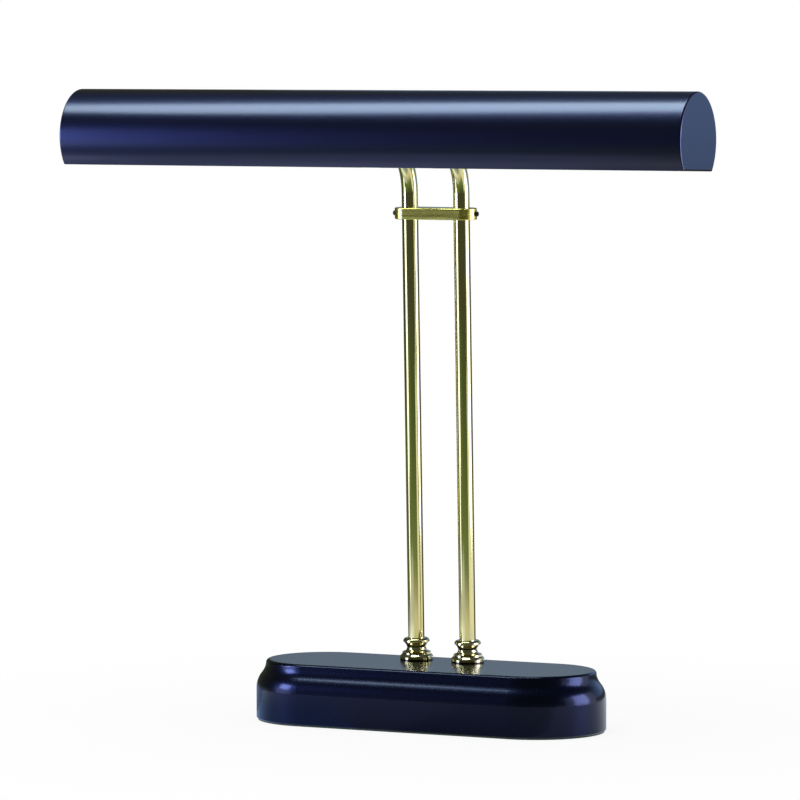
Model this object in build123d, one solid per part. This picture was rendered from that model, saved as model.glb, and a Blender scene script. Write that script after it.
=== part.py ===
"""Upright piano lamp: weighted base, twin brass posts, tilting trough shade over two tubular bulbs.

Frame: origin at the centre of the base's underside, +X along the shade and the base,
-Y to the front (the side of the reader), +Z up. All sizes are in millimetres and degrees.
"""
import os
from math import asin, cos, degrees, pi, radians, sin, tan

from build123d import *

# ------------------------------------------------------------------ driving dimensions
# Base casting: a stadium in plan with a coved shoulder
BASE_CENTRES = 70.2  # from the middle to the centre of each rounded end
BASE_HALF_WIDTH = 43.3
BASE_HEIGHT = 37.3
SHOULDER_ROUND = 14.3
COVE_RADIUS = 11.2
EDGE_ROUND = 2.2
COVE_FOOT_SLOPE = 40.0  # slope of the cove from the vertical, at its foot and at its top
COVE_TOP_SLOPE = 4.3
BASE_WALL = 4.8
BASE_ROOF = 5.3
ROOF_INSET = 5.5
SKIRT_DEPTH = 19.5
RIM_ROUND = 0.6

# Underside
FELT_THICKNESS = 1.0
FELT_INSET = 1.0
COVER_THICKNESS = 1.5
COVER_CLEARANCE = 0.3
COVER_SCREW_R = 1.5
COVER_SCREW_LENGTH = 11.0
COVER_BOSS_R = 4.5
COVER_END_SCREW_INSET = 6.5
COVER_FRONT_SCREW_X = 45.0
COVER_FRONT_SCREW_INSET = 5.0
COVER_SLOT_WIDTH = 0.8
COVER_SLOT_DEPTH = 0.6

# Ballast block
BALLAST_THICKNESS = 14.0
BALLAST_CLEARANCE = 2.5
BALLAST_LIFT = 3.5
BAY_HALF_LENGTH = 66.0
BAY_FRONT = 1.0
BALLAST_SCREW_R = 2.5
BALLAST_SCREW_HEAD_R = 4.6
BALLAST_SCREW_HEAD = 3.0
BALLAST_SCREW_X = 50.0
BALLAST_SCREW_Y = -16.0
BALLAST_BOSS_R = 6.5
BALLAST_SCREW_GRIP = 8.0
BALLAST_HEAD_ROUND = 1.0
BALLAST_SLOT_WIDTH = 1.2
BALLAST_SLOT_DEPTH = 1.2

# Posts: brass tube, bent over into the arms
POST_X = 17.3
POST_FOOT_Y = 18.26
POST_LEAN = 2.05
POST_RADIUS = 5.0
POST_WALL = 1.0
BEND_RADIUS = 31.75

# Hardware that shares the posts' fine thread
NUT_FLATS = 14.0
NUT_THICKNESS = 3.0
NUT_CHAMFER = 0.5
WASHER_R = 8.0
WASHER_THICKNESS = 1.0
THREAD_TAIL = 1.5
TILTED_SEAT_GAP = 0.35

# Collars at the feet of the posts, radii and heights of the turned profile
COLLAR_DISC_R = 10.15
COLLAR_DISC_HEIGHT = 3.5
COLLAR_DISC_ROUND = 1.2
COLLAR_STEP_R = 8.8
COLLAR_STEP_HEIGHT = 5.1
COLLAR_WAIST_R = 5.8
COLLAR_WAIST_HEIGHT = 8.1
COLLAR_LIP_R = 8.1
COLLAR_LIP_HEIGHT = 11.9
COLLAR_HEIGHT = 13.8
COLLAR_TOP_R = 6.3
COLLAR_SINK = 0.6

# Bridge bar between the posts
BAR_Z = 312.8
BAR_LENGTH = 53.6
BAR_DEPTH = 16.0
BAR_HEIGHT = 7.0
BAR_EDGE = 0.6
SET_SCREW_R = 1.5
SET_SCREW_LENGTH = 6.0
SET_SCREW_SOCKET = 1.5

# Shade: a trough of sheet metal that turns on a horizontal axis
SHADE_LENGTH = 406.4
SHADE_RADIUS = 28.5
SHADE_WALL = 0.9
SHADE_AXIS_Y = -69.1
SHADE_AXIS_Z = 360.0
MOUTH_DROP = 17.8
REST_TILT = -1.6
TILT_LIMIT = 45.0
END_CAP_THICKNESS = 1.4
END_CAP_ROUND = 1.1
END_CAP_FLANGE = 6.0
SLOT_CLEARANCE = 1.5

# Socket bracket inside the shade
ARM_DROP = 3.8  # the arms run this far below the shade's axis
BRACKET_HALF_LENGTH = 32.5
BRACKET_SHEET = 1.5
BRACKET_HALF_HEIGHT = 13.0
BRACKET_BACK = 14.5
BRACKET_FRONT = 9.0
BRACKET_BEND = 2.5
BRACKET_CORNER = 6.0

# Pivots, on the shade's axis
NIPPLE_BORE_R = 3.5
NIPPLE_TAIL = 4.0
NIPPLE_GRIP = 4.5
HANGER_SHEET = 1.2
HANGER_HUB_R = 16.5
HANGER_HALF_WIDTH = 12.0
HANGER_FLANGE_ANGLE = 24.0
HANGER_FLANGE_LENGTH = 10.0
SIDE_PLAY = 0.15
SPRING_THICKNESS = 0.8
STOP_PIN_R = 1.5
STOP_PIN_CIRCLE = 10.0
STOP_PLAY = 0.25

# Lampholders
HOLDER_RADIUS = 15.5
HOLDER_LENGTH = 28.5
HOLDER_HUB_R = 8.5
HOLDER_CONE = 5.0
HOLDER_FLOOR = 8.5  # from the hub's end to the seat of the contact
HOLDER_WIRE_R = 4.5
HOLDER_LIP = 0.5
SHELL_OUTER_R = 13.9
SHELL_WALL = 0.5
SHELL_FLANGE_R = 8.5
CONTACT_R = 6.0
CONTACT_THICKNESS = 0.8

# Tubular bulbs
BULB_RADIUS = 16.0
BULB_TIP_CLEARANCE = 14.25  # to the shade's end cap
BULB_WALL = 0.8
BULB_NECK_R = 12.6
BULB_SHOULDER = 15.0
CAP_RADIUS = 13.1
CAP_LENGTH = 24.0
CAP_BUTTON_R = 4.2
CAP_BUTTON = 1.0
CAP_CONE = 3.0
CAP_WALL = 0.6
BULB_GAP = 0.25
STEM_R = 3.5
STEM_LENGTH = 20.0
ROD_R = 1.2
FILAMENT_R = 0.4
FILAMENT_OFFSET = 6.0
FILAMENT_LEAD_IN = 3.0  # straight run of each wire out of the stem
FILAMENT_FLARE = 6.0  # further run along which the wires spread apart
FILAMENT_TIP_GAP = 3.95  # from the hairpin's far end to the tip of the glass

# Rotary switch on the rear wall
SWITCH_X = 45.0
SWITCH_Z = 11.6
SWITCH_WIDTH = 20.0
SWITCH_HEIGHT = 17.0
SWITCH_DEPTH = 19.0
SWITCH_CORNER = 1.5
BUSHING_R = 5.0
BUSHING_LENGTH = 10.0
SHAFT_R = 3.0
SHAFT_LENGTH = 22.0
SHAFT_SEAT = 5.0
KNOB_R = 8.0
KNOB_LENGTH = 12.0
KNOB_ROUND = 1.2
KNOB_FLUTES = 16
KNOB_FLUTE_R = 0.8
KNOB_STANDOFF = 1.0
KNOB_SEAT_DEPTH = 9.0

# Cord gland on the rear wall
GLAND_X = -45.0
GLAND_Z = 11.6
GLAND_BARREL_R = 6.0
GLAND_BORE_R = 3.4
GLAND_FLANGE_R = 8.6
GLAND_FLANGE = 2.5
GLAND_FLANGE_ROUND = 1.0
GLAND_TAIL = 1.0
GLAND_NUT_FLATS = 17.0
GLAND_NUT_THICKNESS = 4.0

# Wiring
LEAD_R = 1.1
LEAD_OFFSET = 1.5
LEAD_BEND = 8.0  # largest radius of a lead's bends outside the posts
LEAD_BEND_SHARE = 0.9  # share of a run that the arcs at its ends may take together
LEAD_DROP = 1.5  # straight run below a post before a lead turns
LEAD_ARM_STEP = 1.0  # from the nipple's axis to where a lead enters the arm
LAMP_TERMINAL_DEPTH = 7.0  # from the rear wall's inner face
LAMP_TERMINAL_RISE = 5.9  # above the switch's axis
LINE_TERMINAL_DEPTH = 11.5
SPLICE_R = 5.5
SPLICE_TIP_R = 4.2
SPLICE_LENGTH = 17.0
SPLICE_BORE_R = 3.8
SPLICE_BORE_DEPTH = 13.0
SPLICE_TIP_ROUND = 2.0
SPLICE_MARGIN = 1.5
SPLICE_X = 7.0
LINE_SPLICE_X = 29.5
LEAD_ENTRY = 5.0
SEAT_GAP = 0.2

# Clearances
FIT = 0.05  # radial, pieces fixed to one another
RUN = 0.06  # radial, a shaft that turns in its hole

# ------------------------------------------------------------------ derived places
UNDERSIDE_Z = FELT_THICKNESS
COVER_TOP_Z = UNDERSIDE_Z + COVER_THICKNESS
ROOF_Z = BASE_HEIGHT - BASE_ROOF
CAVITY_R = BASE_HALF_WIDTH - BASE_WALL
SKIRT_TOP_Z = UNDERSIDE_Z + SKIRT_DEPTH
BALLAST_Z = COVER_TOP_Z + BALLAST_LIFT
BALLAST_TOP_Z = BALLAST_Z + BALLAST_THICKNESS
ARM_Z = SHADE_AXIS_Z - ARM_DROP
POST_CORNER_Y = POST_FOOT_Y - (ARM_Z - BASE_HEIGHT) * tan(radians(POST_LEAN))
POST_BORE_R = POST_RADIUS - POST_WALL
POST_TAIL = BASE_ROOF + TILTED_SEAT_GAP + WASHER_THICKNESS + NUT_THICKNESS + THREAD_TAIL
WEB_FRONT = BRACKET_BACK - BRACKET_SHEET
ARM_END_Y = SHADE_AXIS_Y + WEB_FRONT - NUT_THICKNESS - THREAD_TAIL
FLANGE_X = BRACKET_HALF_LENGTH
HANGER_X = FLANGE_X + SIDE_PLAY
SPRING_X = HANGER_X + HANGER_SHEET + SIDE_PLAY
PIVOT_NUT_X = SPRING_X + SPRING_THICKNESS
HOLDER_X = PIVOT_NUT_X + NUT_THICKNESS + SEAT_GAP
CONTACT_X = HOLDER_X + HOLDER_FLOOR
BULB_X = CONTACT_X + CONTACT_THICKNESS + BULB_GAP
BULB_LENGTH = SHADE_LENGTH / 2 - END_CAP_THICKNESS - BULB_TIP_CLEARANCE - BULB_X
CAP_END_X = BULB_X + CAP_LENGTH
FILAMENT_X = CAP_END_X + STEM_LENGTH + FIT
FILAMENT_REACH = BULB_X + BULB_LENGTH - FILAMENT_TIP_GAP - FILAMENT_X
STEM_FLARE_R = BULB_NECK_R - BULB_WALL - SEAT_GAP
SPLICE_Y = BAY_FRONT + SPLICE_MARGIN
SPLICE_MOUTH_Y = SPLICE_Y + SPLICE_LENGTH
SPLICE_Z = COVER_TOP_Z + SEAT_GAP + SPLICE_R
BASE_BACK_Y = BASE_HALF_WIDTH
WALL_INNER_Y = CAVITY_R
BAY_DEPTH = WALL_INNER_Y - SPLICE_MOUTH_Y
BAY_RISE = BASE_HEIGHT - POST_TAIL - SPLICE_Z
KNOB_Y = WALL_INNER_Y + BUSHING_LENGTH + KNOB_STANDOFF
SIDES = ((-1, "left"), (1, "right"))

parts = {}


# ------------------------------------------------------------------ small helpers
def rod(radius, length):
    """Cylinder along +Z, standing on the origin."""
    return Cylinder(radius, length, align=(Align.CENTER, Align.CENTER, Align.MIN))


def ring(outer, inner, length):
    """Tube along +Z, standing on the origin."""
    return rod(outer, length) - rod(inner, length)


def along_x(shape, x=0.0, y=0.0, z=0.0):
    """Turns a shape made along +Z to run along +X from (x, y, z)."""
    return Pos(x, y, z) * Rot(0, 90, 0) * shape


def along_y(shape, x=0.0, y=0.0, z=0.0):
    """Turns a shape made along +Z to run along +Y from (x, y, z)."""
    return Pos(x, y, z) * Rot(-90, 0, 0) * shape


def hex_nut(flats, bore, thickness):
    """Hexagonal nut along +Z with chamfered corners."""
    blank = extrude(RegularPolygon(flats / 2, 6, major_radius=False), thickness)
    round_blank = rod(flats / 2 / cos(pi / 6), thickness)
    rims = round_blank.edges().filter_by(GeomType.CIRCLE)
    return (blank & chamfer(rims, NUT_CHAMFER)) - rod(bore, thickness)


def thread_nut():
    return hex_nut(NUT_FLATS, POST_RADIUS + FIT, NUT_THICKNESS)


def turned_along_x(points, x=0.0):
    """Solid of revolution about the shade's axis of (distance from x, radius) points."""
    outline = Polyline([(x + d, r, 0) for d, r in points], close=True)
    solid = revolve(make_face(outline), Axis.X)
    return Pos(0, SHADE_AXIS_Y, SHADE_AXIS_Z) * solid


def both_sides(shape):
    """The shape and its mirror image across the middle plane, as left and right."""
    return {"left": mirror(shape, Plane.YZ), "right": shape}


def add_pair(name, shape):
    """Stores a right-hand piece and its mirror image as two nodes."""
    for side, solid in both_sides(shape).items():
        parts[f"{name}_{side}"] = solid


def add_pair_in_one(name, shape):
    """Stores two identical fasteners in one node."""
    parts[name] = Compound(children=list(both_sides(shape).values()))


def on_post(shape, x, height):
    """Places a shape on a leaning post, at a distance along it from the base's top."""
    lean = radians(POST_LEAN)
    foot = Vector(x, POST_FOOT_Y, BASE_HEIGHT)
    place = foot + Vector(0, -sin(lean), cos(lean)) * height
    return Pos(place) * Rot(POST_LEAN, 0, 0) * shape


def shade_frame(shape):
    """Places a shape drawn about the shade's axis at the shade's rest tilt."""
    return Pos(0, SHADE_AXIS_Y, SHADE_AXIS_Z) * Rot(REST_TILT, 0, 0) * shape


def swept(path, section):
    """Sweeps a flat section, drawn at the origin, along a path."""
    return sweep(Plane(origin=path @ 0, z_dir=path % 0) * section, path=path)


# ------------------------------------------------------------------ base
def arc_step(start, radius, from_slope, to_slope):
    """Arc of a (radius, height) outline between two slopes from the vertical, and its end."""
    turn = 1 if to_slope > from_slope else -1

    def offset(slope):
        return Vector(cos(radians(slope)), 0, sin(radians(slope))) * (turn * radius)

    centre = start - offset(from_slope)
    middle = centre + offset((from_slope + to_slope) / 2)
    end = centre + offset(to_slope)
    return ThreePointArc(start, middle, end), end


def shoulder_rise():
    """Height of the shoulder, cove and top edge together."""
    foot = sin(radians(COVE_FOOT_SLOPE))
    top = sin(radians(COVE_TOP_SLOPE))
    return SHOULDER_ROUND * foot + COVE_RADIUS * (foot - top) + EDGE_ROUND * (1 - top)


def base_outline():
    """Half section of the casting: wall, rounded shoulder, cove, edge and flat top."""
    wall_top = Vector(BASE_HALF_WIDTH, 0, BASE_HEIGHT - shoulder_rise())
    shoulder, cove_foot = arc_step(wall_top, SHOULDER_ROUND, 0, COVE_FOOT_SLOPE)
    cove, cove_top = arc_step(cove_foot, COVE_RADIUS, COVE_FOOT_SLOPE, COVE_TOP_SLOPE)
    edge, flat = arc_step(cove_top, EDGE_ROUND, COVE_TOP_SLOPE, 90)
    lower = Polyline(
        (0, 0, BASE_HEIGHT),
        (0, 0, UNDERSIDE_Z),
        (BASE_HALF_WIDTH - RIM_ROUND, 0, UNDERSIDE_Z),
        (BASE_HALF_WIDTH, 0, UNDERSIDE_Z + RIM_ROUND),
        wall_top,
    )
    top = Line(flat, (0, 0, BASE_HEIGHT))
    return make_face([lower, shoulder, cove, edge, top])


def stadium_solid(half_section):
    """Solid whose half section runs round a stadium of the base's length."""
    section = Rot(0, 0, -90) * half_section
    end = Pos(BASE_CENTRES, 0, 0) * revolve(section, Axis.Z, 180)
    middle = extrude(Pos(-BASE_CENTRES, 0, 0) * section, 2 * BASE_CENTRES, dir=(1, 0, 0))
    return end + mirror(end, Plane.YZ) + middle + mirror(middle, Plane.XZ)


def stadium_plate(radius, bottom, thickness):
    plate = extrude(SlotCenterToCenter(2 * BASE_CENTRES, 2 * radius), thickness)
    return Pos(0, 0, bottom) * plate


def cavity():
    """Hollow of the casting, narrower under the cove."""
    neck_r = CAVITY_R - ROOF_INSET
    outline = Polyline(
        (0, 0, 0),
        (CAVITY_R, 0, 0),
        (CAVITY_R, 0, SKIRT_TOP_Z),
        (neck_r, 0, SKIRT_TOP_Z + ROOF_INSET),
        (neck_r, 0, ROOF_Z),
        (0, 0, ROOF_Z),
        close=True,
    )
    return stadium_solid(make_face(outline))


def cover_screw_places():
    end_x = BASE_CENTRES + CAVITY_R - COVER_END_SCREW_INSET
    front_y = -(CAVITY_R - COVER_FRONT_SCREW_INSET)
    return [
        (-end_x, 0),
        (end_x, 0),
        (-COVER_FRONT_SCREW_X, front_y),
        (COVER_FRONT_SCREW_X, front_y),
    ]


def ballast_screw_places():
    return [(-BALLAST_SCREW_X, BALLAST_SCREW_Y), (BALLAST_SCREW_X, BALLAST_SCREW_Y)]


def base_casting():
    body = stadium_solid(base_outline()) - cavity()
    for x, y in cover_screw_places():
        body += Pos(x, y, COVER_TOP_Z) * rod(COVER_BOSS_R, ROOF_Z - COVER_TOP_Z + FIT)
    for x, y in ballast_screw_places():
        body += Pos(x, y, BALLAST_TOP_Z) * rod(BALLAST_BOSS_R, ROOF_Z - BALLAST_TOP_Z + FIT)
    for x, y in cover_screw_places():
        body -= Pos(x, y, COVER_TOP_Z) * rod(COVER_SCREW_R + FIT, COVER_SCREW_LENGTH)
    for x, y in ballast_screw_places():
        hole = rod(BALLAST_SCREW_R + FIT, BALLAST_SCREW_GRIP + 1)
        body -= Pos(x, y, BALLAST_TOP_Z) * hole
    for side, _ in SIDES:
        bore = Pos(0, 0, -2 * BASE_ROOF) * rod(POST_RADIUS + 2 * FIT, 4 * BASE_ROOF)
        body -= on_post(bore, side * POST_X, 0)
    through = 2 * BASE_WALL
    body -= along_y(rod(BUSHING_R + FIT, through), SWITCH_X, WALL_INNER_Y - 1, SWITCH_Z)
    body -= along_y(rod(GLAND_BARREL_R + FIT, through), GLAND_X, WALL_INNER_Y - 1, GLAND_Z)
    return body


def ballast_block():
    """Iron block round the front and the ends of the cavity, with a bay for the wiring."""
    block = stadium_plate(CAVITY_R - BALLAST_CLEARANCE, BALLAST_Z, BALLAST_THICKNESS)
    bay_depth = BASE_HALF_WIDTH - BAY_FRONT
    bay = Box(2 * BAY_HALF_LENGTH, bay_depth, 2 * BALLAST_THICKNESS)
    block -= Pos(0, BAY_FRONT + bay_depth / 2, BALLAST_Z + BALLAST_THICKNESS / 2) * bay
    for x, y in cover_screw_places():
        block -= Pos(x, y, BALLAST_Z) * rod(COVER_BOSS_R + 1, BALLAST_THICKNESS)
    for x, y in ballast_screw_places():
        block -= Pos(x, y, BALLAST_Z) * rod(BALLAST_SCREW_R + 4 * FIT, BALLAST_THICKNESS)
    return block


def ballast_screws():
    head = rod(BALLAST_SCREW_HEAD_R, BALLAST_SCREW_HEAD)
    head = fillet(head.edges().sort_by(Axis.Z)[0], BALLAST_HEAD_ROUND)
    head -= Box(2 * BALLAST_SCREW_HEAD_R, BALLAST_SLOT_WIDTH, 2 * BALLAST_SLOT_DEPTH)
    shank = Pos(0, 0, BALLAST_SCREW_HEAD)
    shank *= rod(BALLAST_SCREW_R, BALLAST_THICKNESS + BALLAST_SCREW_GRIP)
    screw = head + shank
    bottom = BALLAST_Z - BALLAST_SCREW_HEAD
    return Compound(children=[Pos(x, y, bottom) * screw for x, y in ballast_screw_places()])


def countersink():
    """Conical head of a cover screw, wide end down, as deep as the cover is thick."""
    return Cone(
        2 * COVER_SCREW_R,
        COVER_SCREW_R,
        COVER_THICKNESS,
        align=(Align.CENTER, Align.CENTER, Align.MIN),
    )


def cover_plate():
    plate = stadium_plate(CAVITY_R - COVER_CLEARANCE, UNDERSIDE_Z, COVER_THICKNESS)
    for x, y in cover_screw_places():
        plate -= Pos(x, y, UNDERSIDE_Z) * countersink()
    return plate


def cover_screws():
    slot = Box(4 * COVER_SCREW_R, COVER_SLOT_WIDTH, 2 * COVER_SLOT_DEPTH)
    shank = Pos(0, 0, COVER_THICKNESS) * rod(COVER_SCREW_R, COVER_SCREW_LENGTH - 1)
    screw = countersink() + shank - slot
    places = cover_screw_places()
    return Compound(children=[Pos(x, y, UNDERSIDE_Z) * screw for x, y in places])


# ------------------------------------------------------------------ posts and their hardware
def post():
    """Right-hand post: threaded foot, straight run, bend and arm in one tube."""
    lean = radians(POST_LEAN)
    tail = Vector(0, sin(lean), -cos(lean)) * POST_TAIL
    foot = Vector(POST_X, POST_FOOT_Y, BASE_HEIGHT) + tail
    path = FilletPolyline(
        foot,
        (POST_X, POST_CORNER_Y, ARM_Z),
        (POST_X, ARM_END_Y, ARM_Z),
        radius=BEND_RADIUS,
    )
    return swept(path, Circle(POST_RADIUS) - Circle(POST_BORE_R))


def collar():
    """Turned collar: disc foot, step, waist and rounded lip, trimmed flat at the base."""
    bore = POST_RADIUS + FIT
    outline = [
        (bore, -COLLAR_SINK),
        (COLLAR_DISC_R, -COLLAR_SINK),
        (COLLAR_DISC_R, COLLAR_DISC_HEIGHT - COLLAR_DISC_ROUND),
        (COLLAR_DISC_R - COLLAR_DISC_ROUND / 3, COLLAR_DISC_HEIGHT - COLLAR_DISC_ROUND / 3),
        (COLLAR_STEP_R, COLLAR_DISC_HEIGHT + COLLAR_DISC_ROUND / 3),
        (COLLAR_STEP_R, COLLAR_STEP_HEIGHT),
    ]
    lip_under = (COLLAR_LIP_R, 0, COLLAR_LIP_HEIGHT - 0.5)
    lip_over = (COLLAR_TOP_R, 0, COLLAR_HEIGHT)
    waist = (COLLAR_WAIST_R, 0, COLLAR_WAIST_HEIGHT)
    foot = Polyline([(r, 0, z) for r, z in outline])
    sweep_mid = (COLLAR_WAIST_R + 0.75, 0, (COLLAR_STEP_HEIGHT + COLLAR_WAIST_HEIGHT) / 2 - 0.5)
    lower = ThreePointArc(foot @ 1, sweep_mid, waist)
    flare_mid = (COLLAR_WAIST_R + 0.85, 0, (COLLAR_WAIST_HEIGHT + COLLAR_LIP_HEIGHT) / 2)
    flare = ThreePointArc(waist, flare_mid, lip_under)
    lip_mid = (COLLAR_LIP_R - 0.35, 0, (COLLAR_LIP_HEIGHT + COLLAR_HEIGHT) / 2 + 0.1)
    lip = ThreePointArc(lip_under, lip_mid, lip_over)
    back = Polyline(lip_over, (bore, 0, COLLAR_HEIGHT), foot @ 0)
    solid = revolve(make_face([foot, lower, flare, lip, back]), Axis.Z)
    below = Pos(POST_X, POST_FOOT_Y, BASE_HEIGHT - COLLAR_DISC_R) * Box(
        4 * COLLAR_DISC_R, 4 * COLLAR_DISC_R, 2 * COLLAR_DISC_R
    )
    return on_post(solid, POST_X, 0) - below


def bridge_bar():
    bar = extrude(SlotOverall(BAR_LENGTH, BAR_DEPTH), BAR_HEIGHT / 2, both=True)
    rims = bar.edges().group_by(Axis.Z)
    bar = fillet(rims[0] + rims[-1], BAR_EDGE)
    for side, _ in SIDES:
        bar -= Pos(side * POST_X, 0, -BAR_HEIGHT / 2) * rod(POST_RADIUS + FIT, BAR_HEIGHT)
    screw_hole = rod(SET_SCREW_R + FIT, BAR_LENGTH / 2 - POST_X)
    bar -= along_x(screw_hole, POST_X)
    bar -= mirror(along_x(screw_hole, POST_X), Plane.YZ)
    return on_post(bar, 0, bar_height_on_post())


def bar_height_on_post():
    return (BAR_Z - BASE_HEIGHT) / cos(radians(POST_LEAN))


def set_screw():
    """Socket-headed grub screw, its tip at the origin and its socket along +Z."""
    screw = rod(SET_SCREW_R, SET_SCREW_LENGTH)
    rims = screw.edges().filter_by(GeomType.CIRCLE)
    screw = chamfer(rims, SET_SCREW_R / 5)
    socket = extrude(RegularPolygon(SET_SCREW_R / 2, 6), SET_SCREW_SOCKET)
    return screw - Pos(0, 0, SET_SCREW_LENGTH - SET_SCREW_SOCKET) * socket


def add_posts():
    add_pair("post", post())
    add_pair("post_collar", collar())
    washer_place = -(BASE_ROOF + TILTED_SEAT_GAP + WASHER_THICKNESS)
    washer = ring(WASHER_R, POST_RADIUS + FIT, WASHER_THICKNESS)
    add_pair_in_one("post_lock_washers", on_post(washer, POST_X, washer_place))
    nut_place = washer_place - NUT_THICKNESS
    add_pair_in_one("post_nuts", on_post(thread_nut(), POST_X, nut_place))
    parts["bridge_bar"] = bridge_bar()
    screw = along_x(set_screw(), POST_X + POST_RADIUS + FIT)
    add_pair_in_one("bridge_set_screws", on_post(screw, 0, bar_height_on_post()))


# ------------------------------------------------------------------ bracket and pivots
def socket_bracket():
    """U of sheet steel that joins the arms and carries the pivots and lampholders."""
    half = BRACKET_SHEET / 2
    spine = FilletPolyline(
        (-FLANGE_X + half, -BRACKET_FRONT, 0),
        (-FLANGE_X + half, BRACKET_BACK - half, 0),
        (FLANGE_X - half, BRACKET_BACK - half, 0),
        (FLANGE_X - half, -BRACKET_FRONT, 0),
        radius=BRACKET_BEND,
    )
    section = Rectangle(BRACKET_SHEET, 2 * BRACKET_HALF_HEIGHT)
    start = Plane(origin=spine @ 0, x_dir=(1, 0, 0), z_dir=spine % 0)
    sheet = sweep(start * section, path=spine)
    corners = sheet.edges().filter_by(Axis.X).group_by(Axis.Y)[0]
    sheet = fillet(corners, BRACKET_CORNER)
    pivot = along_x(rod(POST_RADIUS + FIT, 4 * FLANGE_X), -2 * FLANGE_X)
    sheet -= pivot
    sheet -= along_x(rod(STOP_PIN_R + FIT, 4 * FLANGE_X), -2 * FLANGE_X, 0, -STOP_PIN_CIRCLE)
    for side, _ in SIDES:
        arm_hole = rod(POST_RADIUS + FIT, BRACKET_BACK)
        sheet -= along_y(arm_hole, side * POST_X, BRACKET_BACK / 2, -ARM_DROP)
    return Pos(0, SHADE_AXIS_Y, SHADE_AXIS_Z) * sheet


def arm_nuts():
    """Nut before and nut behind the bracket's web, on each arm."""
    front = along_y(thread_nut(), POST_X, SHADE_AXIS_Y + WEB_FRONT - NUT_THICKNESS, ARM_Z)
    back = along_y(thread_nut(), POST_X, SHADE_AXIS_Y + BRACKET_BACK, ARM_Z)
    nuts = [front, back]
    nuts += [mirror(nut, Plane.YZ) for nut in nuts]
    return Compound(children=nuts)


def pivot_nipple():
    """Threaded tube: clamps to the bracket, carries the shade, then the lampholder."""
    inner_x = FLANGE_X - BRACKET_SHEET - NIPPLE_TAIL
    length = HOLDER_X + NIPPLE_GRIP - inner_x
    return along_x(ring(POST_RADIUS, NIPPLE_BORE_R, length), inner_x, SHADE_AXIS_Y, SHADE_AXIS_Z)


def pivot_nuts():
    """Jam nut inside each bracket flange and clamp nut outside each spring."""
    inner_x = FLANGE_X - BRACKET_SHEET - NUT_THICKNESS
    nuts = [along_x(thread_nut(), x, SHADE_AXIS_Y, SHADE_AXIS_Z) for x in (inner_x, PIVOT_NUT_X)]
    nuts += [mirror(nut, Plane.YZ) for nut in nuts]
    return Compound(children=nuts)


def hanger():
    """Stamped plate that turns on the nipple and holds up the shade by its crown."""
    crown_r = SHADE_RADIUS - SHADE_WALL - FIT
    strap = Pos(0, crown_r / 2) * Rectangle(2 * HANGER_HALF_WIDTH, crown_r)
    outline = Circle(HANGER_HUB_R) + (strap & Circle(crown_r))
    plate = extrude(Plane.YZ * outline, HANGER_SHEET)
    sector = Plane.YZ * (Circle(crown_r) - Circle(crown_r - HANGER_SHEET))
    flange = extrude(sector, HANGER_FLANGE_LENGTH)
    half_chord = crown_r * sin(radians(HANGER_FLANGE_ANGLE))
    keep = Pos(HANGER_FLANGE_LENGTH / 2, 0, crown_r) * Box(
        HANGER_FLANGE_LENGTH, 2 * half_chord, crown_r
    )
    blank = shade_frame(Pos(HANGER_X, 0, 0) * (plate + (flange & keep)))
    pivot = rod(POST_RADIUS + RUN, 2 * HANGER_SHEET)
    blank -= along_x(pivot, HANGER_X - HANGER_SHEET / 2, SHADE_AXIS_Y, SHADE_AXIS_Z)
    return blank - stop_slot()


def stop_slot():
    """Curved slot in the hanger whose ends meet the stop pin at the tilt limits."""
    end_play = degrees(STOP_PLAY / STOP_PIN_CIRCLE)
    reach = TILT_LIMIT + end_play
    start = -90 - reach
    arc = CenterArc((0, 0), STOP_PIN_CIRCLE, start, 2 * reach)
    slot = SlotArc(arc, 2 * (STOP_PIN_R + STOP_PLAY))
    cutter = extrude(Plane.YZ * slot, 2 * HANGER_SHEET)
    return Pos(HANGER_X - HANGER_SHEET / 2, SHADE_AXIS_Y, SHADE_AXIS_Z) * cutter


def add_head():
    parts["socket_bracket"] = socket_bracket()
    parts["arm_nuts"] = arm_nuts()
    add_pair("pivot_nipple", pivot_nipple())
    parts["pivot_nuts"] = pivot_nuts()
    spring = ring(WASHER_R - 0.2, POST_RADIUS + FIT, SPRING_THICKNESS)
    add_pair_in_one("pivot_spring_washers", along_x(spring, SPRING_X, SHADE_AXIS_Y, SHADE_AXIS_Z))
    pin = rod(STOP_PIN_R, BRACKET_SHEET + SIDE_PLAY + HANGER_SHEET)
    pin_z = SHADE_AXIS_Z - STOP_PIN_CIRCLE
    add_pair_in_one("stop_pins", along_x(pin, FLANGE_X - BRACKET_SHEET, SHADE_AXIS_Y, pin_z))
    add_pair("shade_hanger", hanger())


# ------------------------------------------------------------------ lampholders and bulbs
def holder_body():
    outline = [
        (0, POST_RADIUS + FIT),
        (0, HOLDER_HUB_R),
        (HOLDER_CONE, HOLDER_RADIUS),
        (HOLDER_LENGTH - HOLDER_LIP, HOLDER_RADIUS),
        (HOLDER_LENGTH, HOLDER_RADIUS - HOLDER_LIP),
        (HOLDER_LENGTH, SHELL_OUTER_R + FIT),
        (HOLDER_FLOOR, SHELL_OUTER_R + FIT),
        (HOLDER_FLOOR, HOLDER_WIRE_R),
        (NIPPLE_GRIP + FIT, HOLDER_WIRE_R),
        (NIPPLE_GRIP + FIT, POST_RADIUS + FIT),
    ]
    return turned_along_x(outline, HOLDER_X)


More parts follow.
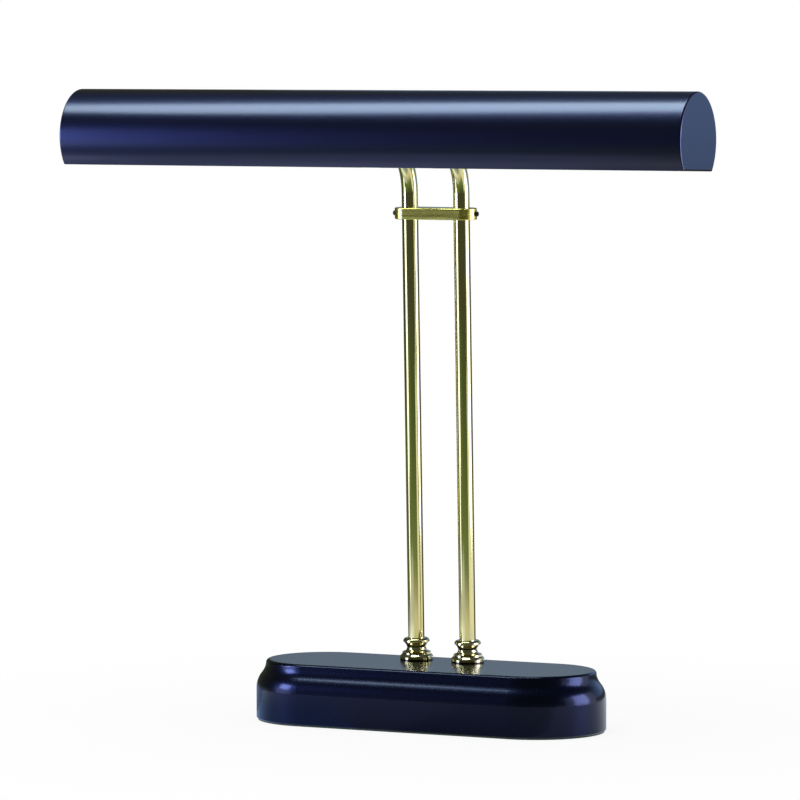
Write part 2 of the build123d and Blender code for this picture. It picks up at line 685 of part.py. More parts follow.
def screw_shell():
    """Brass cup that takes the bulb's cap."""
    depth = HOLDER_LENGTH - HOLDER_FLOOR - 2 * HOLDER_LIP
    outline = [
        (0, SHELL_FLANGE_R),
        (0, SHELL_OUTER_R),
        (depth, SHELL_OUTER_R),
        (depth, SHELL_OUTER_R - SHELL_WALL),
        (SHELL_WALL, SHELL_OUTER_R - SHELL_WALL),
        (SHELL_WALL, SHELL_FLANGE_R),
    ]
    return turned_along_x(outline, CONTACT_X)


def centre_contact():
    return turned_along_x([(0, 0), (0, CONTACT_R), (CONTACT_THICKNESS, CONTACT_R - 1),
                           (CONTACT_THICKNESS, 0)], CONTACT_X)


def bulb_cap():
    """Brass cap: button, insulating cone and screw shell, open towards the glass."""
    cone_end = CAP_BUTTON + CAP_CONE
    outline = [
        (0, 0),
        (0, CAP_BUTTON_R),
        (CAP_BUTTON, CAP_BUTTON_R),
        (cone_end, CAP_RADIUS),
        (CAP_LENGTH, CAP_RADIUS),
        (CAP_LENGTH, CAP_RADIUS - CAP_WALL),
        (cone_end + CAP_WALL, CAP_RADIUS - CAP_WALL),
        (cone_end, CAP_BUTTON_R),
        (cone_end, 0),
    ]
    return turned_along_x(outline, BULB_X)


def bulb_outline(inset, neck_x):
    """Half outline of the glass as a wire from the neck to the tip, inset from its outside."""
    tip_x = BULB_X + BULB_LENGTH
    dome_x = tip_x - BULB_RADIUS
    neck = (neck_x, BULB_NECK_R - inset, 0)
    shoulder = (CAP_END_X + BULB_SHOULDER, BULB_RADIUS - inset, 0)
    flare_mid = (CAP_END_X + BULB_SHOULDER / 2, (BULB_NECK_R + BULB_RADIUS) / 2 - inset + 0.6, 0)
    dome_r = BULB_RADIUS - inset
    flare = ThreePointArc(neck, flare_mid, shoulder)
    wall = Line(shoulder, (dome_x, dome_r, 0))
    diagonal = dome_r * cos(pi / 4)
    dome = ThreePointArc(wall @ 1, (dome_x + diagonal, diagonal, 0), (dome_x + dome_r, 0, 0))
    return flare, wall, dome


def bulb_glass():
    """Tubular envelope, open at the neck where it meets the cap."""
    outer = bulb_outline(0, CAP_END_X)
    inner = bulb_outline(BULB_WALL, CAP_END_X)
    neck = Line(inner[0] @ 0, outer[0] @ 0)
    tip = Line(outer[-1] @ 1, inner[-1] @ 1)
    solid = revolve(make_face([*outer, *inner, neck, tip]), Axis.X)
    return Pos(0, SHADE_AXIS_Y, SHADE_AXIS_Z) * solid


def bulb_stem():
    """Glass mount: flare sealed in the neck, stem, and the rod that props the filament."""
    rod_end = STEM_LENGTH + FILAMENT_REACH - 2 * FILAMENT_R - ROD_R / 2
    outline = [
        (0, 0),
        (0, STEM_FLARE_R),
        (1, STEM_FLARE_R),
        (STEM_LENGTH / 2, STEM_R),
        (STEM_LENGTH, STEM_R),
        (STEM_LENGTH, ROD_R),
        (rod_end, ROD_R),
        (rod_end, 0),
    ]
    return turned_along_x(outline, CAP_END_X)


def filament():
    """Lead-in wires and the long filament, as one hairpin round the prop rod."""
    lead_in_x = FILAMENT_X + FILAMENT_LEAD_IN
    spread_x = lead_in_x + FILAMENT_FLARE
    far_x = FILAMENT_X + FILAMENT_REACH
    root = STEM_R - 2 * FILAMENT_R
    path = FilletPolyline(
        (FILAMENT_X, root, 0),
        (lead_in_x, root, 0),
        (spread_x, FILAMENT_OFFSET, 0),
        (far_x, FILAMENT_OFFSET, 0),
        (far_x, -FILAMENT_OFFSET, 0),
        (spread_x, -FILAMENT_OFFSET, 0),
        (lead_in_x, -root, 0),
        (FILAMENT_X, -root, 0),
        radius=FILAMENT_OFFSET / 2,
    )
    wire = swept(path, Circle(FILAMENT_R))
    return Pos(0, SHADE_AXIS_Y, SHADE_AXIS_Z) * wire


def add_lamps():
    add_pair("lampholder", holder_body())
    add_pair("lampholder_shell", screw_shell())
    add_pair("lampholder_contact", centre_contact())
    add_pair("bulb_cap", bulb_cap())
    add_pair("bulb_glass", bulb_glass())
    add_pair("bulb_stem", bulb_stem())
    add_pair("bulb_filament", filament())


# ------------------------------------------------------------------ shade
def trough(radius):
    """Circle of the shade's section cut flat at the mouth, in the plane of Y and Z."""
    cut = Pos(0, -MOUTH_DROP - radius) * Rectangle(4 * radius, 2 * radius)
    return Plane.YZ * (Circle(radius) - cut)


def arm_angle():
    """Angle of an arm's centre below the shade's axis where it meets the back wall."""
    return degrees(asin(ARM_DROP / SHADE_RADIUS)) + REST_TILT


def slot_cutter(x):
    """Slot for one arm, open at the mouth and round at its top."""
    half_width = POST_RADIUS + SLOT_CLEARANCE
    top_angle = TILT_LIMIT - arm_angle() + degrees(SLOT_CLEARANCE / SHADE_RADIUS)
    reach = 2 * SHADE_RADIUS
    far = [
        (reach * cos(radians(angle)), reach * sin(radians(angle)))
        for angle in (-90, -45, 0, top_angle)
    ]
    pie = make_face(Polyline((0, 0), *far, close=True))
    wedge = Pos(x - half_width, 0, 0) * extrude(Plane.YZ * pie, 2 * half_width)
    end = Pos(x, 0, 0) * Rot(top_angle - 90, 0, 0) * rod(half_width, reach)
    return wedge + end


def shade_shell():
    length = SHADE_LENGTH - 2 * END_CAP_THICKNESS
    section = trough(SHADE_RADIUS) - Plane.YZ * Circle(SHADE_RADIUS - SHADE_WALL)
    shell = Pos(-length / 2, 0, 0) * extrude(section, length)
    for side, _ in SIDES:
        shell -= slot_cutter(side * POST_X)
    return shade_frame(shell)


def end_cap():
    """Pressed end with a rounded rim and a flange that fits inside the trough."""
    plate = extrude(trough(SHADE_RADIUS), END_CAP_THICKNESS)
    rim = plate.faces().sort_by(Axis.X)[-1].edges()
    plate = fillet(rim, END_CAP_ROUND)
    flange_r = SHADE_RADIUS - SHADE_WALL - FIT
    section = trough(flange_r) - Plane.YZ * Circle(flange_r - SHADE_WALL)
    flange = Pos(-END_CAP_FLANGE, 0, 0) * extrude(section, END_CAP_FLANGE)
    cap = plate + flange
    return shade_frame(Pos(SHADE_LENGTH / 2 - END_CAP_THICKNESS, 0, 0) * cap)


# ------------------------------------------------------------------ switch and gland
def switch_body():
    """Switch case with its threaded bushing, clamped to the inside of the rear wall."""
    case = Box(SWITCH_WIDTH, SWITCH_HEIGHT, SWITCH_DEPTH)
    case = chamfer(case.edges().filter_by(Axis.Z), SWITCH_CORNER)
    case = Pos(0, 0, -SWITCH_DEPTH / 2) * case
    body = case + rod(BUSHING_R, BUSHING_LENGTH)
    body -= Pos(0, 0, -SHAFT_SEAT) * rod(SHAFT_R + RUN, SHAFT_LENGTH)
    return along_y(body, SWITCH_X, WALL_INNER_Y, SWITCH_Z)


def switch_shaft():
    start = WALL_INNER_Y - SHAFT_SEAT + SEAT_GAP
    length = KNOB_Y + KNOB_SEAT_DEPTH - SEAT_GAP - start
    return along_y(rod(SHAFT_R, length), SWITCH_X, start, SWITCH_Z)


def switch_knob():
    knob = rod(KNOB_R, KNOB_LENGTH)
    knob = fillet(knob.edges().sort_by(Axis.Z)[-1], KNOB_ROUND)
    flutes = PolarLocations(KNOB_R + KNOB_FLUTE_R / 3, KNOB_FLUTES)
    for place in flutes:
        knob -= place * rod(KNOB_FLUTE_R, KNOB_LENGTH)
    knob -= rod(SHAFT_R + FIT, KNOB_SEAT_DEPTH)
    knob = along_y(knob, SWITCH_X, KNOB_Y, SWITCH_Z)
    hole = rod(SET_SCREW_R + FIT, 2 * KNOB_R)
    return knob - Pos(SWITCH_X, knob_screw_y(), SWITCH_Z) * hole


def knob_screw_y():
    return KNOB_Y + KNOB_SEAT_DEPTH / 2


def knob_set_screw():
    screw = rod(SET_SCREW_R, KNOB_R - SHAFT_R - 2 * FIT - KNOB_FLUTE_R)
    return Pos(SWITCH_X, knob_screw_y(), SWITCH_Z + SHAFT_R + FIT) * screw


def cord_gland():
    """Bushing that guides the supply cord through the rear wall."""
    inner_y = WALL_INNER_Y - GLAND_NUT_THICKNESS - GLAND_TAIL
    length = BASE_BACK_Y - inner_y
    barrel = rod(GLAND_BARREL_R, length)
    flange = Pos(0, 0, length) * rod(GLAND_FLANGE_R, GLAND_FLANGE)
    flange = fillet(flange.edges().sort_by(Axis.Z)[-1], GLAND_FLANGE_ROUND)
    body = barrel + flange - rod(GLAND_BORE_R, length + GLAND_FLANGE)
    return along_y(body, GLAND_X, inner_y, GLAND_Z)


def add_rear():
    parts["switch_body"] = switch_body()
    parts["switch_nut"] = along_y(thread_nut(), SWITCH_X, BASE_BACK_Y, SWITCH_Z)
    parts["switch_shaft"] = switch_shaft()
    parts["switch_knob"] = switch_knob()
    parts["knob_set_screw"] = knob_set_screw()
    parts["cord_gland"] = cord_gland()
    nut = hex_nut(GLAND_NUT_FLATS, GLAND_BARREL_R + FIT, GLAND_NUT_THICKNESS)
    parts["gland_nut"] = along_y(nut, GLAND_X, WALL_INNER_Y - GLAND_NUT_THICKNESS, GLAND_Z)


# ------------------------------------------------------------------ wiring
def splice_cap(x):
    """Closed-end wire connector lying on the cover, its mouth to the rear."""
    cap = Cone(SPLICE_TIP_R, SPLICE_R, SPLICE_LENGTH, align=(Align.CENTER, Align.CENTER, Align.MIN))
    cap = fillet(cap.edges().sort_by(Axis.Z)[0], SPLICE_TIP_ROUND)
    bore = rod(SPLICE_BORE_R, SPLICE_BORE_DEPTH)
    cap -= Pos(0, 0, SPLICE_LENGTH - SPLICE_BORE_DEPTH) * bore
    return along_y(cap, x, SPLICE_Y, SPLICE_Z)


def route_radii(points):
    """Radius at each corner of a route, as large as its two runs and their far corners allow."""
    runs = [Vector(end) - Vector(start) for start, end in zip(points, points[1:])]
    turns = [tan(radians(run.get_angle(after) / 2)) for run, after in zip(runs, runs[1:])]
    ends = zip(runs, [0, *turns], [*turns, 0])
    room = [LEAD_BEND_SHARE * run.length / (near + far) for run, near, far in ends]
    return [min(LEAD_BEND, before, after) for before, after in zip(room, room[1:])]


def lead(name, points, radii):
    """One insulated wire along straight runs joined by tangent arcs."""
    path = FilletPolyline(*points, radius=radii)
    wire = swept(path, Circle(LEAD_R))
    ratio = wire.volume / (pi * LEAD_R**2 * path.length)
    shown = ", ".join(f"{radius:.1f}" for radius in radii)
    print(f"{name}: radii {shown}; volume over section times length {ratio:.4f}")
    parts[name] = wire


def lamp_lead(name, side, strand, base_route):
    """Wire from a lampholder through the nipple, arm and post to a splice in the base."""
    x = side * (POST_X + strand * LEAD_OFFSET)
    y = SHADE_AXIS_Y + strand * LEAD_OFFSET
    lean = radians(POST_LEAN)
    depth = POST_TAIL + LEAD_DROP
    foot = (x, POST_FOOT_Y + depth * sin(lean), BASE_HEIGHT - depth * cos(lean))
    points = [
        (side * (CONTACT_X - SEAT_GAP), y, SHADE_AXIS_Z),
        (side * (FLANGE_X - BRACKET_SHEET - NIPPLE_TAIL), y, SHADE_AXIS_Z),
        (x, y + LEAD_ARM_STEP, ARM_Z),
        (x, POST_CORNER_Y, ARM_Z),
        foot,
        *base_route,
    ]
    to_arm = route_radii(points[:4])
    in_base = route_radii(points[3:])
    lead(name, points, [*to_arm, BEND_RADIUS, *in_base])


def bay(across, back, rise):
    """Point in the wiring bay: across in shares of the way from the middle to a post, back in
    shares of the way from the splices' mouths to the rear wall, and rise in shares of the way
    from the splices' axis to the posts' ends.
    """
    return (across * POST_X, SPLICE_MOUTH_Y + back * BAY_DEPTH, SPLICE_Z + rise * BAY_RISE)


def splice_entry(x, angle, back):
    """Last two points of a wire: behind the mouth of a splice cap, and inside it."""
    dx = LEAD_OFFSET * cos(radians(angle))
    dz = LEAD_OFFSET * sin(radians(angle))
    behind = (x + dx, SPLICE_MOUTH_Y + back * BAY_DEPTH, SPLICE_Z + dz)
    return [behind, (x + dx, SPLICE_MOUTH_Y - LEAD_ENTRY, SPLICE_Z + dz)]


def add_wiring():
    add_pair("splice_cap", splice_cap(SPLICE_X))
    parts["line_splice_cap"] = splice_cap(LINE_SPLICE_X)
    near_left = [bay(-1.01, 0.13, 0.21), bay(-0.72, 0.45, 0.02)]
    lamp_lead("lamp_lead_left_a", -1, 1, near_left + splice_entry(-SPLICE_X, 210, 0.24))
    near_right = [bay(0.84, 0.13, 0.21), bay(0.69, 0.45, 0.02)]
    lamp_lead("lamp_lead_right_b", 1, -1, near_right + splice_entry(SPLICE_X, -30, 0.24))
    over = [bay(0.92, 0.50, 0.49), bay(0.23, 0.76, 0.30)]
    lamp_lead("lamp_lead_right_a", 1, 1, over + splice_entry(-SPLICE_X, -30, 0.50))
    under = [bay(-0.75, 0.55, 0.21), bay(-0.23, 0.74, -0.07)]
    lamp_lead("lamp_lead_left_b", -1, -1, under + splice_entry(SPLICE_X, 210, 0.47))

    case_x = SWITCH_X - SWITCH_WIDTH / 2 - SEAT_GAP
    terminal_y = WALL_INNER_Y - LAMP_TERMINAL_DEPTH
    terminal_z = SWITCH_Z + LAMP_TERMINAL_RISE
    switched = [
        (case_x, terminal_y, terminal_z),
        (1.56 * POST_X, terminal_y, terminal_z),
        (0.69 * POST_X, SPLICE_MOUTH_Y + 0.84 * BAY_DEPTH, SKIRT_TOP_Z),
        bay(0.0, 0.86, 0.49),
        bay(-SPLICE_X / POST_X, 0.66, 0.24),
        splice_entry(-SPLICE_X, 90, 0)[1],
    ]
    lead("switch_lead_lamp", switched, route_radii(switched))
    line_y = WALL_INNER_Y - LINE_TERMINAL_DEPTH
    line = [
        (case_x, line_y, SPLICE_Z),
        (LINE_SPLICE_X, line_y, SPLICE_Z),
        (LINE_SPLICE_X, SPLICE_MOUTH_Y - LEAD_ENTRY, SPLICE_Z),
    ]
    lead("switch_lead_line", line, route_radii(line))


# ------------------------------------------------------------------ the whole lamp
parts["base_casting"] = base_casting()
parts["ballast_block"] = ballast_block()
parts["ballast_screws"] = ballast_screws()
parts["cover_plate"] = cover_plate()
parts["cover_screws"] = cover_screws()
parts["felt_pad"] = stadium_plate(BASE_HALF_WIDTH - FELT_INSET, 0, FELT_THICKNESS)
add_posts()
add_head()
add_lamps()
parts["shade_shell"] = shade_shell()
add_pair("shade_end_cap", end_cap())
add_rear()
add_wiring()

os.makedirs("parts", exist_ok=True)
for node, shape in parts.items():
    export_step(shape, f"parts/{node}.step")
print(len(parts), "nodes")
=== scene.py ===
import math

import bmesh
import bpy
from mathutils import Matrix, Quaternion, Vector


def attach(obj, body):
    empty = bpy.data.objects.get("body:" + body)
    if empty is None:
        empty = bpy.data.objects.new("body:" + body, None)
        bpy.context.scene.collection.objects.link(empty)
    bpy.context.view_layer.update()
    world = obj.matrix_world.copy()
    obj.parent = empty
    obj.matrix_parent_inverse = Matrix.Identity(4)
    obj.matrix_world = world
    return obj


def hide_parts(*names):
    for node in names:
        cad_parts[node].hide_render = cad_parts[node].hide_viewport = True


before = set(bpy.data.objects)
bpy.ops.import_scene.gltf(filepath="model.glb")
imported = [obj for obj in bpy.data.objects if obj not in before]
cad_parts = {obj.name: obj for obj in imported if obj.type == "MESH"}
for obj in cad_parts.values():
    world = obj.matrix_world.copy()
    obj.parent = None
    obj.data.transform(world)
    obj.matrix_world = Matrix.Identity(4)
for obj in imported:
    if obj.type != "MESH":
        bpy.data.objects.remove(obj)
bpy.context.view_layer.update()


# ---------------------------------------------------------------- camera
# A long lens a little above the table, turned to the lamp from its right front corner,
# so that the shade's right end cap and the top of the base both show.
lens = bpy.data.cameras.new("camera")
lens.sensor_width = 36.0
lens.lens = 236.57
lens.clip_end = 50.0
camera = bpy.data.objects.new("camera", lens)
camera.location = (1.3365, -2.9063, 0.4163)
camera.rotation_euler = (math.radians(86.118), 0.0, math.radians(25.023))
bpy.context.scene.collection.objects.link(camera)
bpy.context.scene.camera = camera
bpy.context.scene.view_settings.view_transform = "Standard"


# ---------------------------------------------------------------- table, drapes and lamps
# A white table with a soft box overhead, one at the left front and one at the right.
# Dark drapes and table cloths stand where enamel and brass reflect something dark, and paler ones behind.
# Only reflections show them, and they glow with their own colour instead of being lit.
class Graph:
    """Adds nodes to a tree and joins them. A value is a number, a colour or a socket."""

    def __init__(self, tree):
        self.tree = tree

    def add(self, kind, feeds=None, **settings):
        node = self.tree.nodes.new(kind)
        for key, value in settings.items():
            setattr(node, key, value)
        for socket, value in (feeds or {}).items():
            self.feed(node.inputs[socket], value)
        return node

    def feed(self, socket, value):
        if isinstance(value, bpy.types.NodeSocket):
            self.tree.links.new(value, socket)
        else:
            socket.default_value = value

    def math(self, operation, *values):
        node = self.add("ShaderNodeMath", operation=operation)
        for socket, value in zip(node.inputs, values):
            self.feed(socket, value)
        return node.outputs[0]


def stage_material(name, build):
    material = bpy.data.materials.new(name)
    material.use_nodes = True
    material.node_tree.nodes.clear()
    graph = Graph(material.node_tree)
    output = graph.add("ShaderNodeOutputMaterial")
    graph.feed(output.inputs["Surface"], build(graph))
    material.cycles.emission_sampling = "NONE"
    return material


def seen_white(graph):
    """1 on the rays that should meet a white studio: the camera's, and those off metal and glass."""
    ray = graph.add("ShaderNodeLightPath").outputs
    seen = graph.math("MAXIMUM", ray["Is Camera Ray"], ray["Is Glossy Ray"])
    return graph.math("MAXIMUM", seen, ray["Is Transmission Ray"])


def table_paint(graph):
    """White paper. Near the lamp it keeps a part of the shadow that falls on it."""
    place = graph.add("ShaderNodeTexCoord").outputs["Object"]
    fibre = graph.add("ShaderNodeTexNoise", {"Vector": place, "Scale": 900.0}).outputs[0]
    tone = graph.add("ShaderNodeValToRGB", {"Fac": fibre})
    tone.color_ramp.elements[0].color = (0.86, 0.86, 0.86, 1)
    tone.color_ramp.elements[1].color = (0.90, 0.90, 0.90, 1)
    paper = graph.add("ShaderNodeBsdfDiffuse", {"Color": tone.outputs[0]}).outputs[0]
    glow = graph.add("ShaderNodeEmission", {"Color": (1, 1, 1, 1), "Strength": 1.0}).outputs[0]
    away = graph.add("ShaderNodeVectorMath", {0: place}, operation="LENGTH").outputs["Value"]
    spread = graph.add("ShaderNodeMapRange", {"Value": away, "From Min": 0.15, "From Max": 0.45})
    spread.inputs["To Min"].default_value = 0.88
    spread.inputs["To Max"].default_value = 1.0
    share = graph.math("MULTIPLY", seen_white(graph), spread.outputs[0])
    return graph.add("ShaderNodeMixShader", {0: share, 1: paper, 2: glow}).outputs[0]


def drape_cloth(graph):
    """A cloth that glows with the colour its light attribute gives, with a faint weave."""
    light = graph.add("ShaderNodeAttribute", attribute_name="light").outputs["Color"]
    place = graph.add("ShaderNodeTexCoord").outputs["Object"]
    weave = graph.add("ShaderNodeTexNoise", {"Vector": place, "Scale": 300.0}).outputs[0]
    strength = graph.add("ShaderNodeMapRange", {"Value": weave, "To Min": 0.9, "To Max": 1.1})
    return graph.add("ShaderNodeEmission", {"Color": light, "Strength": strength.outputs[0]}).outputs[0]


def stage_mesh(name, corners, faces, material, shown):
    """A piece of the studio. One that isn't shown is still mirrored in gloss and metal."""
    mesh = bpy.data.meshes.new(name)
    mesh.from_pydata(corners, [], faces)
    mesh.materials.append(material)
    obj = bpy.data.objects.new(name, mesh)
    bpy.context.scene.collection.objects.link(obj)
    if not shown:
        obj.visible_camera = False
        obj.visible_diffuse = False
        obj.visible_transmission = False
        obj.visible_shadow = False
    return obj


def round_room(name, first, last, *edges):
    """A cloth round the lamp between two azimuths, in degrees from the front to the right.

    Each edge is (radius, height, colour), and the colour fades from one edge to the next.
    """
    steps = max(2, round((last - first) / CLOTH_STEP))
    corners, lights = [], []
    for column in range(steps + 1):
        turn = math.radians(first + (last - first) * column / steps)
        for radius, height, colour in edges:
            corners.append((radius * math.sin(turn), -radius * math.cos(turn), height))
            lights += [*colour, 1.0]
    rows = len(edges)
    faces = []
    for column in range(steps):
        for row in range(rows - 1):
            near = column * rows + row
            faces.append((near, near + 1, near + rows + 1, near + rows))
    cloth = stage_mesh(name, corners, faces, cloth_material, False)
    cloth.data.color_attributes.new("light", "FLOAT_COLOR", "POINT").data.foreach_set("color", lights)


def table_cloth(name, first, last, *rings):
    """A cloth that lies on the table. Each ring is (radius, colour, share of the colour)."""
    edges = []
    for radius, colour, share in rings:
        edges.append((radius, CLOTH_Z, tuple(channel * share for channel in colour)))
    round_room(name, first, last, *edges)


def drape(name, first, last, radius, *edges):
    """A cloth that hangs upright. Each edge is (height, colour)."""
    round_room(name, first, last, *((radius, height, colour) for height, colour in edges))


def near_table(name, first, last, colour):
    """The table within reach of the base, with painted shade: the glowing cloth is half as bright next to
    the base.
    """
    rings = ((0.0, colour, 0.5), (0.06, colour, 0.5), (0.26, colour, 1.0), (NEAR_R, colour, 1.0))
    table_cloth(name, first, last, *rings)


def soft_box(name, centre, aim, width, height, radiance, tint, mirrored, spin=0.0):
    """A lamp that either shows in gloss and metal, or lights what is matt."""
    lamp = bpy.data.lights.new(name, "AREA")
    lamp.shape = "RECTANGLE"
    lamp.size = width
    lamp.size_y = height
    lamp.energy = radiance * math.pi * width * height
    lamp.color = tint
    obj = bpy.data.objects.new(name, lamp)
    obj.location = centre
    towards = (Vector(aim) - Vector(centre)).to_track_quat("-Z", "Y")
    obj.rotation_euler = (towards @ Quaternion((0, 0, 1), math.radians(spin))).to_euler()
    obj.visible_camera = False
    obj.visible_glossy = mirrored
    obj.visible_transmission = mirrored
    obj.visible_diffuse = not mirrored
    bpy.context.scene.collection.objects.link(obj)


TABLE_HALF = 6.0
table_corners = [(x * TABLE_HALF, y * TABLE_HALF, 0) for x, y in ((-1, -1), (1, -1), (1, 1), (-1, 1))]
table_white = stage_material("table_white", table_paint)
cloth_material = stage_material("cloth", drape_cloth)
CLOTH_Z = 0.0006
CLOTH_STEP = 6
NEAR_R = 0.42
DRAPE_R = 2.0
BACK_R = 2.5
DRAPE_TOP = 2.2
WHITE = (0.68, 0.76, 0.88)
DIM = (0.34, 0.38, 0.44)
WARM = (0.64, 0.63, 0.50)
OLIVE = (0.085, 0.120, 0.050)
DARK = (0.055, 0.060, 0.040)
NIGHT = (0.050, 0.066, 0.095)
GREY = (0.21, 0.275, 0.36)
BLUE = (0.24, 0.38, 0.66)
PALE = (0.80, 0.82, 0.78)
BRIGHT = (1.5, 1.6, 2.0)

stage_mesh("table", table_corners, [(0, 1, 2, 3)], table_white, True)
near_table("cloth_near", 60, 210, WHITE)
near_table("cloth_near_left", -150, -92, (0.20, 0.28, 0.50))
near_front = [
    (0.0, BLUE, 0.9),
    (0.20, BLUE, 1.1),
    (0.26, WHITE, 1.4),
    (0.31, WHITE, 1.4),
    (0.38, WHITE, 0.8),
    (0.50, WHITE, 0.8),
]
table_cloth("cloth_near_front", -92, -34, *near_front)
# The innermost rings are dimmer: painted shade next to the base.
front_left = [
    (0.0, WHITE, 0.38),
    (0.06, WHITE, 0.38),
    (0.22, WHITE, 0.72),
    (0.26, WHITE, 1.1),
    (0.31, WHITE, 1.1),
    (0.34, WHITE, 0.72),
    (0.56, WHITE, 0.72),
    (0.66, OLIVE, 1.5),
    (DRAPE_R, OLIVE, 1.0),
]
table_cloth("cloth_front_left", -34, -5, *front_left)
table_cloth("cloth_left", -150, -66, (NEAR_R, OLIVE, 1.0), (DRAPE_R, OLIVE, 1.0))
table_cloth("cloth_left_front", -66, -50, (0.5, BRIGHT, 1.0), (1.1, BRIGHT, 1.0))
table_cloth("cloth_front_middle", -50, -34, (0.5, WHITE, 0.8), (0.66, OLIVE, 1.5), (DRAPE_R, OLIVE, 1.0))
drape("strip_left_front", -66, -38, 1.1, (0.0, BRIGHT), (0.22, BRIGHT))
# The innermost rings are dimmer: painted shade next to the base.
front_right = [
    (0.0, DIM, 0.5),
    (0.06, DIM, 0.5),
    (0.22, DIM, 1.0),
    (0.28, WARM, 1.0),
    (0.34, WARM, 1.0),
    (NEAR_R, WARM, 0.66),
    (0.57, OLIVE, 1.8),
    (0.95, OLIVE, 1.2),
    (1.4, OLIVE, 0.85),
    (DRAPE_R, OLIVE, 0.7),
]
table_cloth("cloth_front_right", -5, 61, *front_right)
table_cloth("cloth_right", 62, 138, (NEAR_R, PALE, 1.0), (DRAPE_R, PALE, 1.0))
table_cloth("cloth_back", 138, 225, (NEAR_R, DARK, 1.0), (BACK_R, DARK, 1.0))
drape("drape_front", -150, 75, DRAPE_R, (0.0, DARK), (DRAPE_TOP, DARK))
drape("drape_right", 75, 138, DRAPE_R, (0.0, PALE), (1.0, PALE))
drape("drape_back_low", 138, 225, BACK_R, (0.0, DARK), (0.24, DARK))
for name, first, last, low_colour in (("drape_back_right", 138, 182, BLUE), ("drape_back", 182, 225, GREY)):
    back_edges = ((0.24, low_colour), (0.9, low_colour), (1.5, NIGHT), (DRAPE_TOP, NIGHT))
    drape(name, first, last, BACK_R, *back_edges)
round_room("drape_ceiling", 0, 360, (0.0, DRAPE_TOP, NIGHT), (4.0, DRAPE_TOP, NIGHT))

# The first three lamps show in gloss and metal, the last two light what is matt.
soft_box(
    "soft_box_top",
    centre=(-0.40, -0.258, 1.45),
    aim=(-0.40, -0.248, 0.3),
    width=1.26,
    height=0.46,
    radiance=8.5,
    tint=(0.80, 1.0, 0.96),
    mirrored=True,
    spin=33,
)
soft_box(
    "soft_box_left",
    centre=(-0.86, -0.70, 0.34),
    aim=(0.0, -0.02, 0.3),
    width=0.36,
    height=0.5,
    radiance=18.0,
    tint=(0.46, 0.57, 1.0),
    mirrored=True,
)
soft_box(
    "soft_box_right",
    centre=(1.0, 0.25, 0.3),
    aim=(0.0, 0.0, 0.25),
    width=0.5,
    height=0.6,
    radiance=8.0,
    tint=(0.55, 0.62, 1.0),
    mirrored=True,
)
soft_box(
    "lamp_above",
    centre=(-0.3, -0.5, 1.6),
    aim=(0.0, 0.0, 0.1),
    width=1.6,
    height=1.2,
    radiance=1.6,
    tint=(1.0, 0.98, 0.95),
    mirrored=False,
)
soft_box(
    "lamp_left",
    centre=(-1.3, -1.2, 0.8),
    aim=(0.0, 0.0, 0.2),
    width=0.9,
    height=0.9,
    radiance=1.6,
    tint=(0.96, 0.98, 1.0),
    mirrored=False,
)

world = bpy.data.worlds.new("studio_air")
world.use_nodes = True
world.node_tree.nodes.clear()
air = Graph(world.node_tree)
white_air = air.add("ShaderNodeBackground", {"Color": (1, 1, 1, 1), "Strength": 1.0})
dim_air = air.add("ShaderNodeBackground", {"Color": (0.95, 0.97, 1.0, 1), "Strength": 0.7})
both_airs = {0: seen_white(air), 1: dim_air.outputs[0], 2: white_air.outputs[0]}
air_mix = air.add("ShaderNodeMixShader", both_airs)
air.add("ShaderNodeOutputWorld", {"Surface": air_mix.outputs[0]})
bpy.context.scene.world = world


# ---------------------------------------------------------------- base
# Grey iron casting, ground smooth and dipped in a midnight blue enamel so dark that it
# reads as black, then baked to a high gloss. A faint orange peel shows in reflections.
def opened(material):
    """A material's graph and its shader."""
    return Graph(material.node_tree), material.node_tree.nodes["Principled BSDF"]


def new_material(name):
    material = bpy.data.materials.new(name)
    material.use_nodes = True
    return material, *opened(material)


def grain(graph, scale, detail=2.0, stretch=(1, 1, 1), seed=(0, 0, 0)):
    """Noise in the object's own coordinates, in features per metre, and stretched per axis."""
    place = graph.add("ShaderNodeTexCoord").outputs["Object"]
    mapping = graph.add("ShaderNodeMapping", {"Vector": place, "Location": seed, "Scale": stretch})
    noise = graph.add("ShaderNodeTexNoise", {"Scale": scale, "Detail": detail})
    graph.feed(noise.inputs["Vector"], mapping.outputs[0])
    return noise.outputs[0]


def between(graph, factor, low, high, floor=0.3, ceiling=0.7):
    """Spreads a noise's usual range, floor to ceiling, over low to high."""
    node = graph.add("ShaderNodeMapRange", {"Value": factor, "From Min": floor, "From Max": ceiling})
    node.inputs["To Min"].default_value = low
    node.inputs["To Max"].default_value = high
    return node.outputs[0]


def blend_colours(graph, factor, first, second):
    node = graph.add("ShaderNodeMix", data_type="RGBA")
    for socket, value in zip((node.inputs[0], node.inputs[6], node.inputs[7]), (factor, first, second)):
        graph.feed(socket, value)
    return node.outputs[2]


def rgb(red, green, blue):
    return (red, green, blue, 1.0)


def bump(graph, shader, height, distance, sockets=("Normal",)):
    node = graph.add("ShaderNodeBump", {"Height": height, "Distance": distance, "Strength": 1.0})
    for socket in sockets:
        graph.feed(shader.inputs[socket], node.outputs[0])


def enamel(name, dark, light, roughness, coat_roughness, coat_ior, peel_height):
    """Dark flake enamel under a clear coat."""
    material, graph, shader = new_material(name)
    film = grain(graph, 35.0, 3.0)
    graph.feed(shader.inputs["Base Color"], blend_colours(graph, film, dark, light))
    rough = between(graph, grain(graph, 700.0), roughness * 0.95, roughness * 1.05)
    graph.feed(shader.inputs["Roughness"], rough)
    shader.inputs["Metallic"].default_value = 0.9
    shader.inputs["Coat Weight"].default_value = 1.0
    shader.inputs["Coat Roughness"].default_value = coat_roughness
    shader.inputs["Coat IOR"].default_value = coat_ior
    bump(graph, shader, grain(graph, 420.0, 1.0), peel_height, ("Normal", "Coat Normal"))
    return material


def finish(material, *names):
    """Gives CAD nodes their finish."""
    for name in names:
        for node_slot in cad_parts[name].material_slots:
            node_slot.material = material


